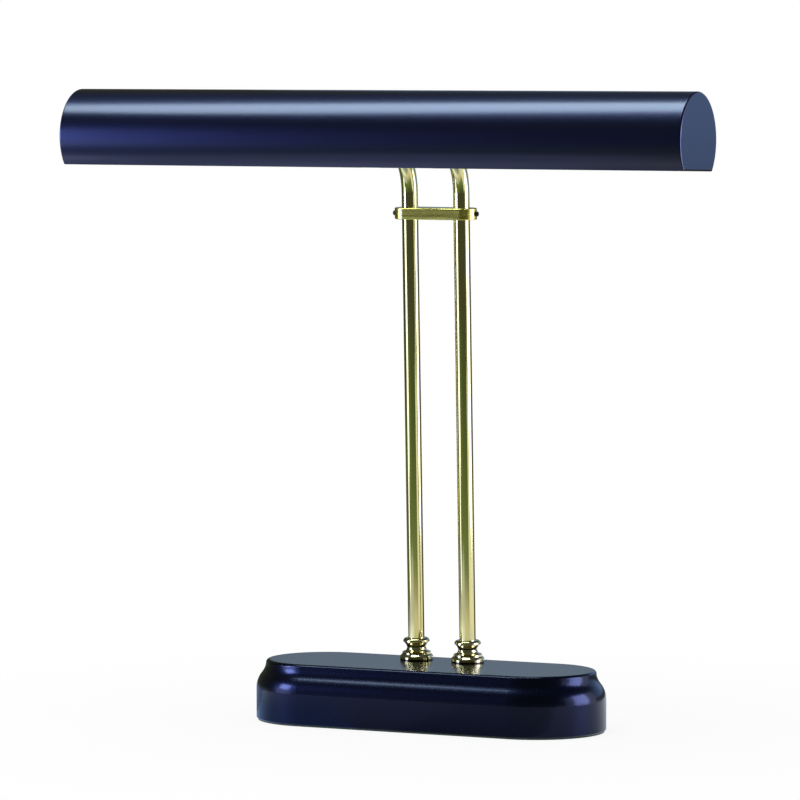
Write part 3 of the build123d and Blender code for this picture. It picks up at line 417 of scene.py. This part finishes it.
base_enamel = enamel(
    "base_enamel",
    rgb(0.0034, 0.0058, 0.026),
    rgb(0.0044, 0.0072, 0.034),
    roughness=0.27,
    coat_roughness=0.17,
    coat_ior=1.27,
    peel_height=0.00001,
)
finish(base_enamel, "base_casting")


# ---------------------------------------------------------------- underside
# Die cut green wool felt, glued over a zinc plated sheet cover. Four slotted screws hold
# the cover, and two hold the cast iron ballast that keeps the lamp on its feet.
def fine_finish(name, dark, light, roughness, scale, relief, metallic=0.0):
    """A solid finish with a fine grain in its colour, roughness and relief."""
    material, graph, shader = new_material(name)
    tone = grain(graph, scale / 6, 3.0)
    graph.feed(shader.inputs["Base Color"], blend_colours(graph, tone, dark, light))
    rough = between(graph, grain(graph, scale, seed=(3, 1, 2)), roughness * 0.85, roughness * 1.2)
    graph.feed(shader.inputs["Roughness"], rough)
    shader.inputs["Metallic"].default_value = metallic
    bump(graph, shader, grain(graph, scale, 4.0), relief)
    return material


felt = fine_finish(
    "felt",
    rgb(0.018, 0.042, 0.022),
    rgb(0.040, 0.075, 0.045),
    roughness=0.95,
    scale=1800.0,
    relief=0.00025,
)
_, felt_shader = opened(felt)
felt_shader.inputs["Sheen Weight"].default_value = 0.5
felt_shader.inputs["Sheen Roughness"].default_value = 0.6
bright_steel = fine_finish(
    "bright_steel",
    rgb(0.50, 0.52, 0.52),
    rgb(0.66, 0.67, 0.66),
    roughness=0.30,
    scale=1500.0,
    relief=0.000008,
    metallic=1.0,
)
raw_iron = fine_finish(
    "raw_iron",
    rgb(0.07, 0.068, 0.065),
    rgb(0.15, 0.145, 0.14),
    roughness=0.7,
    scale=700.0,
    relief=0.0003,
    metallic=0.8,
)
finish(felt, "felt_pad")
finish(bright_steel, "cover_plate", "cover_screws", "ballast_screws")
finish(raw_iron, "ballast_block")


# ---------------------------------------------------------------- posts
# Drawn brass tube, bent over a former, buffed to a mirror and lacquered. Each ends in a
# fine thread: below the base's roof, and behind and before the bracket's web.
def brass(name, dark, light, roughness, stretch):
    """Polished brass under a thin lacquer, with hairlines drawn out as the stretch says."""
    material, graph, shader = new_material(name)
    tone = grain(graph, 30.0, 2.0)
    graph.feed(shader.inputs["Base Color"], blend_colours(graph, tone, dark, light))
    hairlines = grain(graph, 1200.0, 3.0, stretch)
    graph.feed(shader.inputs["Roughness"], between(graph, hairlines, roughness * 0.7, roughness * 1.5))
    shader.inputs["Metallic"].default_value = 1.0
    shader.inputs["Coat Weight"].default_value = 0.25
    shader.inputs["Coat Roughness"].default_value = 0.08
    bump(graph, shader, hairlines, 0.0000008)
    return material


lengthwise = (1, 1, 0.02)
post_brass = brass("post_brass", rgb(0.86, 0.77, 0.37), rgb(0.91, 0.83, 0.43), 0.07, lengthwise)
finish(post_brass, "post_left", "post_right")
finish(bright_steel, "post_lock_washers", "post_nuts", "arm_nuts")


# ---------------------------------------------------------------- collars
# Turned brass ferrules that hide the joint between post and base: a disc foot, a step,
# a waist and a rounded lip, all polished in the lathe, so the fine lines run round them.
# A painted shade line darkens the brass just above the base, where each foot meets it.
def object_xyz(graph):
    place = graph.add("ShaderNodeTexCoord").outputs["Object"]
    return graph.add("ShaderNodeSeparateXYZ", {"Vector": place}).outputs


BASE_TOP_Z = 0.0373
FOOT_SHADE_TO = 0.0006
FOOT_SHADE_FADE_TO = 0.0013
collar_brass = brass("collar_brass", rgb(0.84, 0.72, 0.36), rgb(0.90, 0.80, 0.43), 0.09, (0.3, 0.3, 1))
collar_graph, collar_shader = opened(collar_brass)
# Painted shade: the brass is near black at the base top and fades back to brass by 1.3 mm above it.
unshaded = collar_graph.add("ShaderNodeMapRange", {"Value": object_xyz(collar_graph)[2]})
unshaded.inputs["From Min"].default_value = BASE_TOP_Z + FOOT_SHADE_TO
unshaded.inputs["From Max"].default_value = BASE_TOP_Z + FOOT_SHADE_FADE_TO
polished = collar_shader.inputs["Base Color"].links[0].from_socket
foot_shaded = blend_colours(collar_graph, unshaded.outputs[0], rgb(0.03, 0.022, 0.012), polished)
collar_graph.feed(collar_shader.inputs["Base Color"], foot_shaded)
finish(collar_brass, "post_collar_left", "post_collar_right")


# ---------------------------------------------------------------- bridge bar
# A brass bar with round ends that ties the posts together, satin on its flat faces and
# locked on each post by a black grub screw in its end.
bar_brass = brass("bar_brass", rgb(0.90, 0.75, 0.16), rgb(0.97, 0.82, 0.22), 0.22, (0.02, 1, 1))
black_steel = fine_finish(
    "black_steel",
    rgb(0.016, 0.016, 0.017),
    rgb(0.034, 0.034, 0.036),
    roughness=0.42,
    scale=1500.0,
    relief=0.00001,
    metallic=0.8,
)
finish(bar_brass, "bridge_bar")
finish(black_steel, "bridge_set_screws")


# ---------------------------------------------------------------- bracket, hangers and springs
# Zinc plated sheet steel inside the shade: a U that the arms carry, and two stamped hangers
# that turn on its pivots with the shade. Spring washers under the pivot nuts give the tilt
# its drag, and pins in the bracket stop it.
finish(bright_steel, "socket_bracket", "shade_hanger_left", "shade_hanger_right", "pivot_spring_washers")
finish(bright_steel, "pivot_nuts", "stop_pins")


# ---------------------------------------------------------------- pivot nipples
# Threaded steel tube, one at each side. It is jammed in the bracket, the hanger turns
# on it, and the lampholder screws on its end.
NIPPLE_ENDS = (0.0270, 0.0425)
NIPPLE_R = 0.0050
NIPPLE_BORE_R = 0.0035
NIPPLE_CHAMFER = 0.0004
NIPPLE_PITCH = 0.00105
NIPPLE_THREAD_DEPTH = 0.00055
NIPPLE_THREAD_INSET = 0.0002
SHADE_AXIS = (0.0, -0.0691, 0.3600)


def shaping_tree(name, sizes):
    """A Geometry Nodes tree with a named input for each size, its graph and its inputs."""
    tree = bpy.data.node_groups.new(name, "GeometryNodeTree")
    tree.interface.new_socket("Geometry", in_out="INPUT", socket_type="NodeSocketGeometry")
    tree.interface.new_socket("Geometry", in_out="OUTPUT", socket_type="NodeSocketGeometry")
    for size_name, kind in sizes.items():
        tree.interface.new_socket(size_name, in_out="INPUT", socket_type="NodeSocket" + kind)
    graph = Graph(tree)
    return graph, graph.add("NodeGroupInput").outputs


def close_tree(graph, geometry, material):
    """Ends a tree: copies become real, and the surface gets its finish."""
    real = graph.add("GeometryNodeRealizeInstances", {"Geometry": geometry})
    painted = graph.add("GeometryNodeSetMaterial", {"Geometry": real.outputs[0], "Material": material})
    graph.add("NodeGroupOutput", {"Geometry": painted.outputs[0]})
    return graph.tree


SAME_PLACE = 1e-7
SHARP_ANGLE = math.radians(40)


def shape_with(tree, start, sizes):
    """The plain mesh that a tree makes of an object. The object is removed."""
    modifier = start.modifiers.new(tree.name, "NODES")
    modifier.node_group = tree
    for item in tree.interface.items_tree:
        if item.in_out == "INPUT" and item.name in sizes:
            modifier[item.identifier] = sizes[item.name]
    view = bpy.context.evaluated_depsgraph_get()
    mesh = bpy.data.meshes.new_from_object(start.evaluated_get(view), depsgraph=view)
    bpy.data.objects.remove(start)
    loose = bmesh.new()
    loose.from_mesh(mesh)
    bmesh.ops.remove_doubles(loose, verts=loose.verts, dist=SAME_PLACE)
    bmesh.ops.recalc_face_normals(loose, faces=loose.faces)
    loose.to_mesh(mesh)
    loose.free()
    mesh.shade_smooth()
    mesh.set_sharp_from_angle(angle=SHARP_ANGLE)
    return mesh


def linked(name, data):
    obj = bpy.data.objects.new(name, data)
    bpy.context.scene.collection.objects.link(obj)
    return obj


def outline_object(points, step):
    """A line of vertices along a section, (along, radius), with none further apart than step."""
    fine = [points[0]]
    for (x0, r0), (x1, r1) in zip(points, points[1:]):
        parts = max(1, math.ceil(math.hypot(x1 - x0, r1 - r0) / step))
        fine += [(x0 + (x1 - x0) * i / parts, r0 + (r1 - r0) * i / parts) for i in range(1, parts + 1)]
    mesh = bpy.data.meshes.new("outline")
    mesh.from_pydata([(x, r, 0.0) for x, r in fine], [(i, i + 1) for i in range(len(fine) - 1)], [])
    return linked("outline", mesh)


def thread_tree():
    """Turns an outline round the shade's axis, with a screw thread between two places."""
    graph, given = shaping_tree(
        "turned_thread",
        {
            "Columns": "Int",
            "Pitch": "Float",
            "Depth": "Float",
            "Thread from": "Float",
            "Thread to": "Float",
            "Least radius": "Float",
            "Axis": "Vector",
            "Finish": "Material",
        },
    )
    # The grid has a row for each point of the outline and a column for each step of the turn.
    count = graph.add("GeometryNodeAttributeDomainSize", {"Geometry": given["Geometry"]}, component="MESH")
    across = graph.math("ADD", given["Columns"], 1.0)
    rows = count.outputs["Point Count"]
    grid = graph.add("GeometryNodeMeshGrid", {"Vertices X": rows, "Vertices Y": across})
    index = graph.add("GeometryNodeInputIndex").outputs[0]
    row = graph.math("FLOOR", graph.math("DIVIDE", graph.math("ADD", index, 0.5), across))
    column = graph.math("SUBTRACT", index, graph.math("MULTIPLY", row, across))
    place = graph.add("GeometryNodeInputPosition").outputs[0]
    on_outline = graph.add("GeometryNodeSampleIndex", data_type="FLOAT_VECTOR", domain="POINT")
    graph.feed(on_outline.inputs["Geometry"], given["Geometry"])
    graph.feed(on_outline.inputs["Value"], place)
    graph.feed(on_outline.inputs["Index"], row)
    along, radius, _ = graph.add("ShaderNodeSeparateXYZ", {"Vector": on_outline.outputs[0]}).outputs

    # The groove climbs by one pitch in a turn, fades in and out, and leaves the bore plain.
    share = graph.math("DIVIDE", column, given["Columns"])
    turn = graph.math("MULTIPLY", share, 2 * math.pi)
    phase = graph.math("SUBTRACT", graph.math("DIVIDE", along, given["Pitch"]), share)
    groove = graph.math("COSINE", graph.math("MULTIPLY", phase, 2 * math.pi))
    groove = graph.math("SUBTRACT", 0.5, graph.math("MULTIPLY", groove, 0.5))
    run_in = graph.math("DIVIDE", graph.math("SUBTRACT", along, given["Thread from"]), given["Pitch"])
    run_out = graph.math("DIVIDE", graph.math("SUBTRACT", given["Thread to"], along), given["Pitch"])
    fade = graph.math("MINIMUM", graph.math("MAXIMUM", graph.math("MINIMUM", run_in, run_out), 0.0), 1.0)
    threaded = graph.math("GREATER_THAN", radius, given["Least radius"])
    cut = graph.math("MULTIPLY", graph.math("MULTIPLY", groove, fade), threaded)
    radius = graph.math("SUBTRACT", radius, graph.math("MULTIPLY", cut, given["Depth"]))

    # Each point goes round the shade's axis, and the first and last column are merged.
    side = graph.math("MULTIPLY", radius, graph.math("COSINE", turn))
    rise = graph.math("MULTIPLY", radius, graph.math("SINE", turn))
    local = graph.add("ShaderNodeCombineXYZ", {"X": along, "Y": side, "Z": rise}).outputs[0]
    shifted = graph.add("ShaderNodeVectorMath", {0: local, 1: given["Axis"]}, operation="ADD").outputs[0]
    moved = graph.add("GeometryNodeSetPosition", {"Geometry": grid.outputs["Mesh"], "Position": shifted})
    closed = graph.add("GeometryNodeMergeByDistance", {"Geometry": moved.outputs[0], "Distance": 1e-6})
    return close_tree(graph, closed.outputs[0], given["Finish"])


turned_thread = thread_tree()
# The left side is the right side turned half round, which keeps each thread right-handed.
half_turn = Matrix.Translation(SHADE_AXIS) @ Matrix.Rotation(math.pi, 4, "Z")
half_turn = half_turn @ Matrix.Translation([-value for value in SHADE_AXIS])


def place_pair(name, mesh, node=None):
    """A piece for each side of the lamp, in place of the CAD nodes of that name if there are any."""
    for side in ("right", "left"):
        side_mesh = mesh.copy()
        if side == "left":
            side_mesh.transform(half_turn)
        piece = linked(f"{name}_{side}", side_mesh)
        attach(piece, "stand")
        if node:
            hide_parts(f"{node}_{side}")


nipple_outline = [
    (NIPPLE_ENDS[0], NIPPLE_BORE_R),
    (NIPPLE_ENDS[0], NIPPLE_R - NIPPLE_CHAMFER),
    (NIPPLE_ENDS[0] + NIPPLE_CHAMFER, NIPPLE_R),
    (NIPPLE_ENDS[1] - NIPPLE_CHAMFER, NIPPLE_R),
    (NIPPLE_ENDS[1], NIPPLE_R - NIPPLE_CHAMFER),
    (NIPPLE_ENDS[1], NIPPLE_BORE_R),
    (NIPPLE_ENDS[0], NIPPLE_BORE_R),
]
nipple_mesh = shape_with(
    turned_thread,
    outline_object(nipple_outline, NIPPLE_PITCH / 7),
    {
        "Columns": 40,
        "Pitch": NIPPLE_PITCH,
        "Depth": NIPPLE_THREAD_DEPTH,
        "Thread from": NIPPLE_ENDS[0] + NIPPLE_THREAD_INSET,
        "Thread to": NIPPLE_ENDS[1] - NIPPLE_THREAD_INSET,
        "Least radius": NIPPLE_R - 0.00035,
        "Axis": SHADE_AXIS,
        "Finish": bright_steel,
    },
)
place_pair("threaded_nipple", nipple_mesh, "pivot_nipple")


# ---------------------------------------------------------------- lampholders
# Moulded black phenolic shells, ribbed for the grip, with a brass screw shell and a brass
# centre contact inside. Each screws on the end of its nipple.
phenolic = fine_finish(
    "phenolic",
    rgb(0.012, 0.011, 0.010),
    rgb(0.022, 0.020, 0.019),
    roughness=0.34,
    scale=500.0,
    relief=0.00002,
)
plain_brass = fine_finish(
    "plain_brass",
    rgb(0.66, 0.50, 0.22),
    rgb(0.80, 0.63, 0.31),
    roughness=0.28,
    scale=1200.0,
    relief=0.00001,
    metallic=1.0,
)
for side in ("left", "right"):
    finish(phenolic, f"lampholder_{side}")
    finish(plain_brass, f"lampholder_shell_{side}", f"lampholder_contact_{side}")

HOLDER_R = 0.0155
GRIP_ENDS = (0.0455, 0.0640)
RIB_COUNT = 32
RIB_R = 0.0006
RIB_SINK = 0.0002


def grip_tree():
    """Half round ribs along a lampholder, evenly spaced round the shade's axis."""
    graph, given = shaping_tree(
        "grip_ribs",
        {
            "Count": "Int",
            "Circle": "Float",
            "Rib": "Float",
            "Length": "Float",
            "Middle": "Vector",
            "Finish": "Material",
        },
    )
    ring_sizes = {"Vertices": given["Count"], "Radius": given["Circle"]}
    ring = graph.add("GeometryNodeMeshCircle", ring_sizes)
    rib_sizes = {"Vertices": 10, "Radius": given["Rib"], "Depth": given["Length"]}
    rib = graph.add("GeometryNodeMeshCylinder", rib_sizes)
    ribs = graph.add("GeometryNodeInstanceOnPoints", {"Points": ring.outputs[0], "Instance": rib.outputs[0]})
    laid = graph.add("GeometryNodeTransform", {"Geometry": ribs.outputs[0], "Translation": given["Middle"]})
    laid.inputs["Rotation"].default_value = (0.0, math.pi / 2, 0.0)
    return close_tree(graph, laid.outputs[0], given["Finish"])


grip_mesh = shape_with(
    grip_tree(),
    linked("grip_start", bpy.data.meshes.new("grip_start")),
    {
        "Count": RIB_COUNT,
        "Circle": HOLDER_R - RIB_SINK,
        "Rib": RIB_R,
        "Length": GRIP_ENDS[1] - GRIP_ENDS[0],
        "Middle": ((GRIP_ENDS[0] + GRIP_ENDS[1]) / 2, SHADE_AXIS[1], SHADE_AXIS[2]),
        "Finish": phenolic,
    },
)
place_pair("lampholder_grip", grip_mesh)


# ---------------------------------------------------------------- bulbs
# Clear tubular lamps, blown and drawn in soda glass, with a glass stem and a long hairpin
# filament. The screw cap is plated brass, rolled with its thread and cemented on the glass.
def clear_glass(name, tint):
    material, graph, shader = new_material(name)
    wave = grain(graph, 60.0, 1.0)
    graph.feed(shader.inputs["Base Color"], blend_colours(graph, wave, tint, rgb(1, 1, 1)))
    graph.feed(shader.inputs["Roughness"], between(graph, wave, 0.0, 0.02))
    shader.inputs["Transmission Weight"].default_value = 1.0
    shader.inputs["IOR"].default_value = 1.5
    bump(graph, shader, wave, 0.00003)
    return material


bulb_clear = clear_glass("bulb_clear", rgb(0.97, 0.98, 0.97))
cap_metal = fine_finish(
    "cap_metal",
    rgb(0.62, 0.62, 0.61),
    rgb(0.78, 0.78, 0.76),
    roughness=0.25,
    scale=900.0,
    relief=0.00001,
    metallic=1.0,
)
tungsten = fine_finish(
    "tungsten",
    rgb(0.20, 0.20, 0.21),
    rgb(0.34, 0.34, 0.36),
    roughness=0.4,
    scale=3000.0,
    relief=0.000002,
    metallic=1.0,
)
for side in ("left", "right"):
    finish(bulb_clear, f"bulb_glass_{side}", f"bulb_stem_{side}")

CAP_X = 0.04755
CAP_R = 0.0131
CAP_WALL = 0.0006
CAP_TIP_R = 0.0042
CAP_TIP = 0.0010
CAP_SHOULDER = 0.0040
CAP_LENGTH = 0.0240
CAP_PITCH = 0.00363
CAP_THREAD_DEPTH = 0.0008
CAP_THREAD = (0.0045, 0.0215)
cap_outline = [
    (CAP_X, 0.0),
    (CAP_X, CAP_TIP_R),
    (CAP_X + CAP_TIP, CAP_TIP_R),
    (CAP_X + CAP_SHOULDER, CAP_R),
    (CAP_X + CAP_LENGTH, CAP_R),
    (CAP_X + CAP_LENGTH, CAP_R - CAP_WALL),
    (CAP_X + CAP_SHOULDER + CAP_WALL, CAP_R - CAP_WALL),
    (CAP_X + CAP_SHOULDER, CAP_TIP_R),
    (CAP_X + CAP_SHOULDER, 0.0),
]
cap_mesh = shape_with(
    turned_thread,
    outline_object(cap_outline, 0.0004),
    {
        "Columns": 64,
        "Pitch": CAP_PITCH,
        "Depth": CAP_THREAD_DEPTH,
        "Thread from": CAP_X + CAP_THREAD[0],
        "Thread to": CAP_X + CAP_THREAD[1],
        "Least radius": CAP_R - CAP_WALL - 0.0001,
        "Axis": SHADE_AXIS,
        "Finish": cap_metal,
    },
)
place_pair("screw_cap", cap_mesh, "bulb_cap")

# The filament is a fine coil along a hairpin that lies level in the bulb.
WIRE_STEM_X = 0.0916
WIRE_TIP_X = 0.1836
WIRE_ROOT = 0.0027
WIRE_SPREAD = 0.0060
COIL_R = 0.00031
COIL_PITCH = 0.00036
COIL_STEPS = 5600
WIRE_R = 0.00009
hairpin = [
    (WIRE_STEM_X, WIRE_ROOT),
    (WIRE_STEM_X + 0.0015, WIRE_ROOT),
    (WIRE_STEM_X + 0.0030, WIRE_ROOT),
    (WIRE_STEM_X + 0.0090, WIRE_SPREAD),
    (WIRE_STEM_X + 0.0300, WIRE_SPREAD),
    (WIRE_TIP_X - 0.0060, WIRE_SPREAD),
    (WIRE_TIP_X - 0.0005, WIRE_SPREAD),
    (WIRE_TIP_X, 0.0030),
]
hairpin += [(x, -y) for x, y in reversed(hairpin)]


def coil_tree():
    """Winds a fine wire round a path."""
    graph, given = shaping_tree(
        "wound_wire",
        {"Steps": "Int", "Coil": "Float", "Wire": "Float", "Pitch": "Float", "Finish": "Material"},
    )
    path = graph.add("GeometryNodeResampleCurve", {"Curve": given["Geometry"], "Count": given["Steps"]})
    length = graph.add("GeometryNodeSplineParameter").outputs["Length"]
    turn = graph.math("MULTIPLY", graph.math("DIVIDE", length, given["Pitch"]), 2 * math.pi)
    normal = graph.add("GeometryNodeInputNormal").outputs[0]
    tangent = graph.add("GeometryNodeInputTangent").outputs[0]
    aside = graph.add("ShaderNodeVectorMath", {0: tangent, 1: normal}, operation="CROSS_PRODUCT").outputs[0]
    across = graph.add("ShaderNodeVectorMath", {0: normal}, operation="SCALE")
    graph.feed(across.inputs["Scale"], graph.math("MULTIPLY", graph.math("COSINE", turn), given["Coil"]))
    upward = graph.add("ShaderNodeVectorMath", {0: aside}, operation="SCALE")
    graph.feed(upward.inputs["Scale"], graph.math("MULTIPLY", graph.math("SINE", turn), given["Coil"]))
    away = graph.add("ShaderNodeVectorMath", {0: across.outputs[0], 1: upward.outputs[0]}, operation="ADD")
    wound = graph.add("GeometryNodeSetPosition", {"Geometry": path.outputs[0], "Offset": away.outputs[0]})
    section = graph.add("GeometryNodeCurvePrimitiveCircle", {"Resolution": 5, "Radius": given["Wire"]})
    swept = {"Curve": wound.outputs[0], "Profile Curve": section.outputs[0], "Fill Caps": True}
    wire = graph.add("GeometryNodeCurveToMesh", swept)
    return close_tree(graph, wire.outputs[0], given["Finish"])


path_data = bpy.data.curves.new("hairpin", "CURVE")
path_data.dimensions = "3D"
path = path_data.splines.new("NURBS")
path.points.add(len(hairpin) - 1)
for point, (x, y) in zip(path.points, hairpin):
    point.co = (x, SHADE_AXIS[1] + y, SHADE_AXIS[2], 1.0)
path.order_u = 3
path.use_endpoint_u = True
path.resolution_u = 12
filament_mesh = shape_with(
    coil_tree(),
    linked("hairpin", path_data),
    {
        "Steps": COIL_STEPS,
        "Coil": COIL_R,
        "Wire": WIRE_R,
        "Pitch": COIL_PITCH,
        "Finish": tungsten,
    },
)
place_pair("coiled_filament", filament_mesh, "bulb_filament")


# ---------------------------------------------------------------- shade
# Rolled sheet steel with two pressed end caps. Outside it has satin midnight blue enamel,
# inside white reflector enamel, and the colours meet along the edge of the sheet.
PAINT_LINE_R = 0.02805
PAINT_LINE_X = 0.20184

shade_enamel = enamel(
    "shade_enamel",
    rgb(0.004, 0.0070, 0.046),
    rgb(0.005, 0.0090, 0.057),
    roughness=0.32,
    coat_roughness=0.22,
    coat_ior=1.46,
    peel_height=0.000008,
)
two_sides, blue_shader = opened(shade_enamel)
shade_xyz = object_xyz(two_sides)
off_y = two_sides.math("SUBTRACT", shade_xyz[1], SHADE_AXIS[1])
off_z = two_sides.math("SUBTRACT", shade_xyz[2], SHADE_AXIS[2])
squares = two_sides.math("ADD", two_sides.math("POWER", off_y, 2.0), two_sides.math("POWER", off_z, 2.0))
within_tube = two_sides.math("LESS_THAN", two_sides.math("SQRT", squares), PAINT_LINE_R)
within_ends = two_sides.math("LESS_THAN", two_sides.math("ABSOLUTE", shade_xyz[0]), PAINT_LINE_X)
inside = two_sides.math("MULTIPLY", within_tube, within_ends)
white_shader = two_sides.add("ShaderNodeBsdfPrincipled")
white_film = grain(two_sides, 40.0)
white_tone = blend_colours(two_sides, white_film, rgb(0.80, 0.80, 0.77), rgb(0.86, 0.86, 0.84))
two_sides.feed(white_shader.inputs["Base Color"], white_tone)
white_rough = between(two_sides, grain(two_sides, 500.0), 0.30, 0.40)
two_sides.feed(white_shader.inputs["Roughness"], white_rough)
bump(two_sides, white_shader, grain(two_sides, 500.0), 0.00001)
paints = {0: inside, 1: blue_shader.outputs[0], 2: white_shader.outputs[0]}
both_paints = two_sides.add("ShaderNodeMixShader", paints).outputs[0]
two_sides.feed(shade_enamel.node_tree.nodes["Material Output"].inputs["Surface"], both_paints)
finish(shade_enamel, "shade_shell", "shade_end_cap_left", "shade_end_cap_right")


# ---------------------------------------------------------------- switch
# Rotary switch on the rear wall: a phenolic case inside, a plated shaft and the nut that
# holds the case, and outside a fluted phenolic knob that a grub screw fixes on the shaft.
finish(phenolic, "switch_body", "switch_knob")
finish(bright_steel, "switch_nut", "switch_shaft")
finish(black_steel, "knob_set_screw")


# ---------------------------------------------------------------- cord gland
# Moulded nylon bushing where the supply cord enters the rear wall. It is pushed in from
# outside and held by its nut.
nylon = fine_finish(
    "nylon",
    rgb(0.020, 0.020, 0.021),
    rgb(0.034, 0.034, 0.035),
    roughness=0.48,
    scale=600.0,
    relief=0.00002,
)
finish(nylon, "cord_gland", "gland_nut")


# ---------------------------------------------------------------- wiring
# Stranded leads in PVC, one dark and one pale to each lamp, drawn through the posts. Closed
# end splice caps, crimped on their ends, lie on the cover inside the base.
splice_plastic = fine_finish(
    "splice_plastic",
    rgb(0.60, 0.57, 0.48),
    rgb(0.74, 0.71, 0.61),
    roughness=0.5,
    scale=400.0,
    relief=0.00003,
)
lead_dark = fine_finish(
    "lead_dark",
    rgb(0.014, 0.014, 0.014),
    rgb(0.026, 0.026, 0.026),
    roughness=0.4,
    scale=500.0,
    relief=0.00002,
)
lead_pale = fine_finish(
    "lead_pale",
    rgb(0.68, 0.68, 0.65),
    rgb(0.80, 0.80, 0.78),
    roughness=0.42,
    scale=500.0,
    relief=0.00002,
)
finish(splice_plastic, "splice_cap_left", "splice_cap_right", "line_splice_cap")
finish(lead_dark, "lamp_lead_left_b", "lamp_lead_right_b", "switch_lead_line")
finish(lead_pale, "lamp_lead_left_a", "lamp_lead_right_a", "switch_lead_lamp")
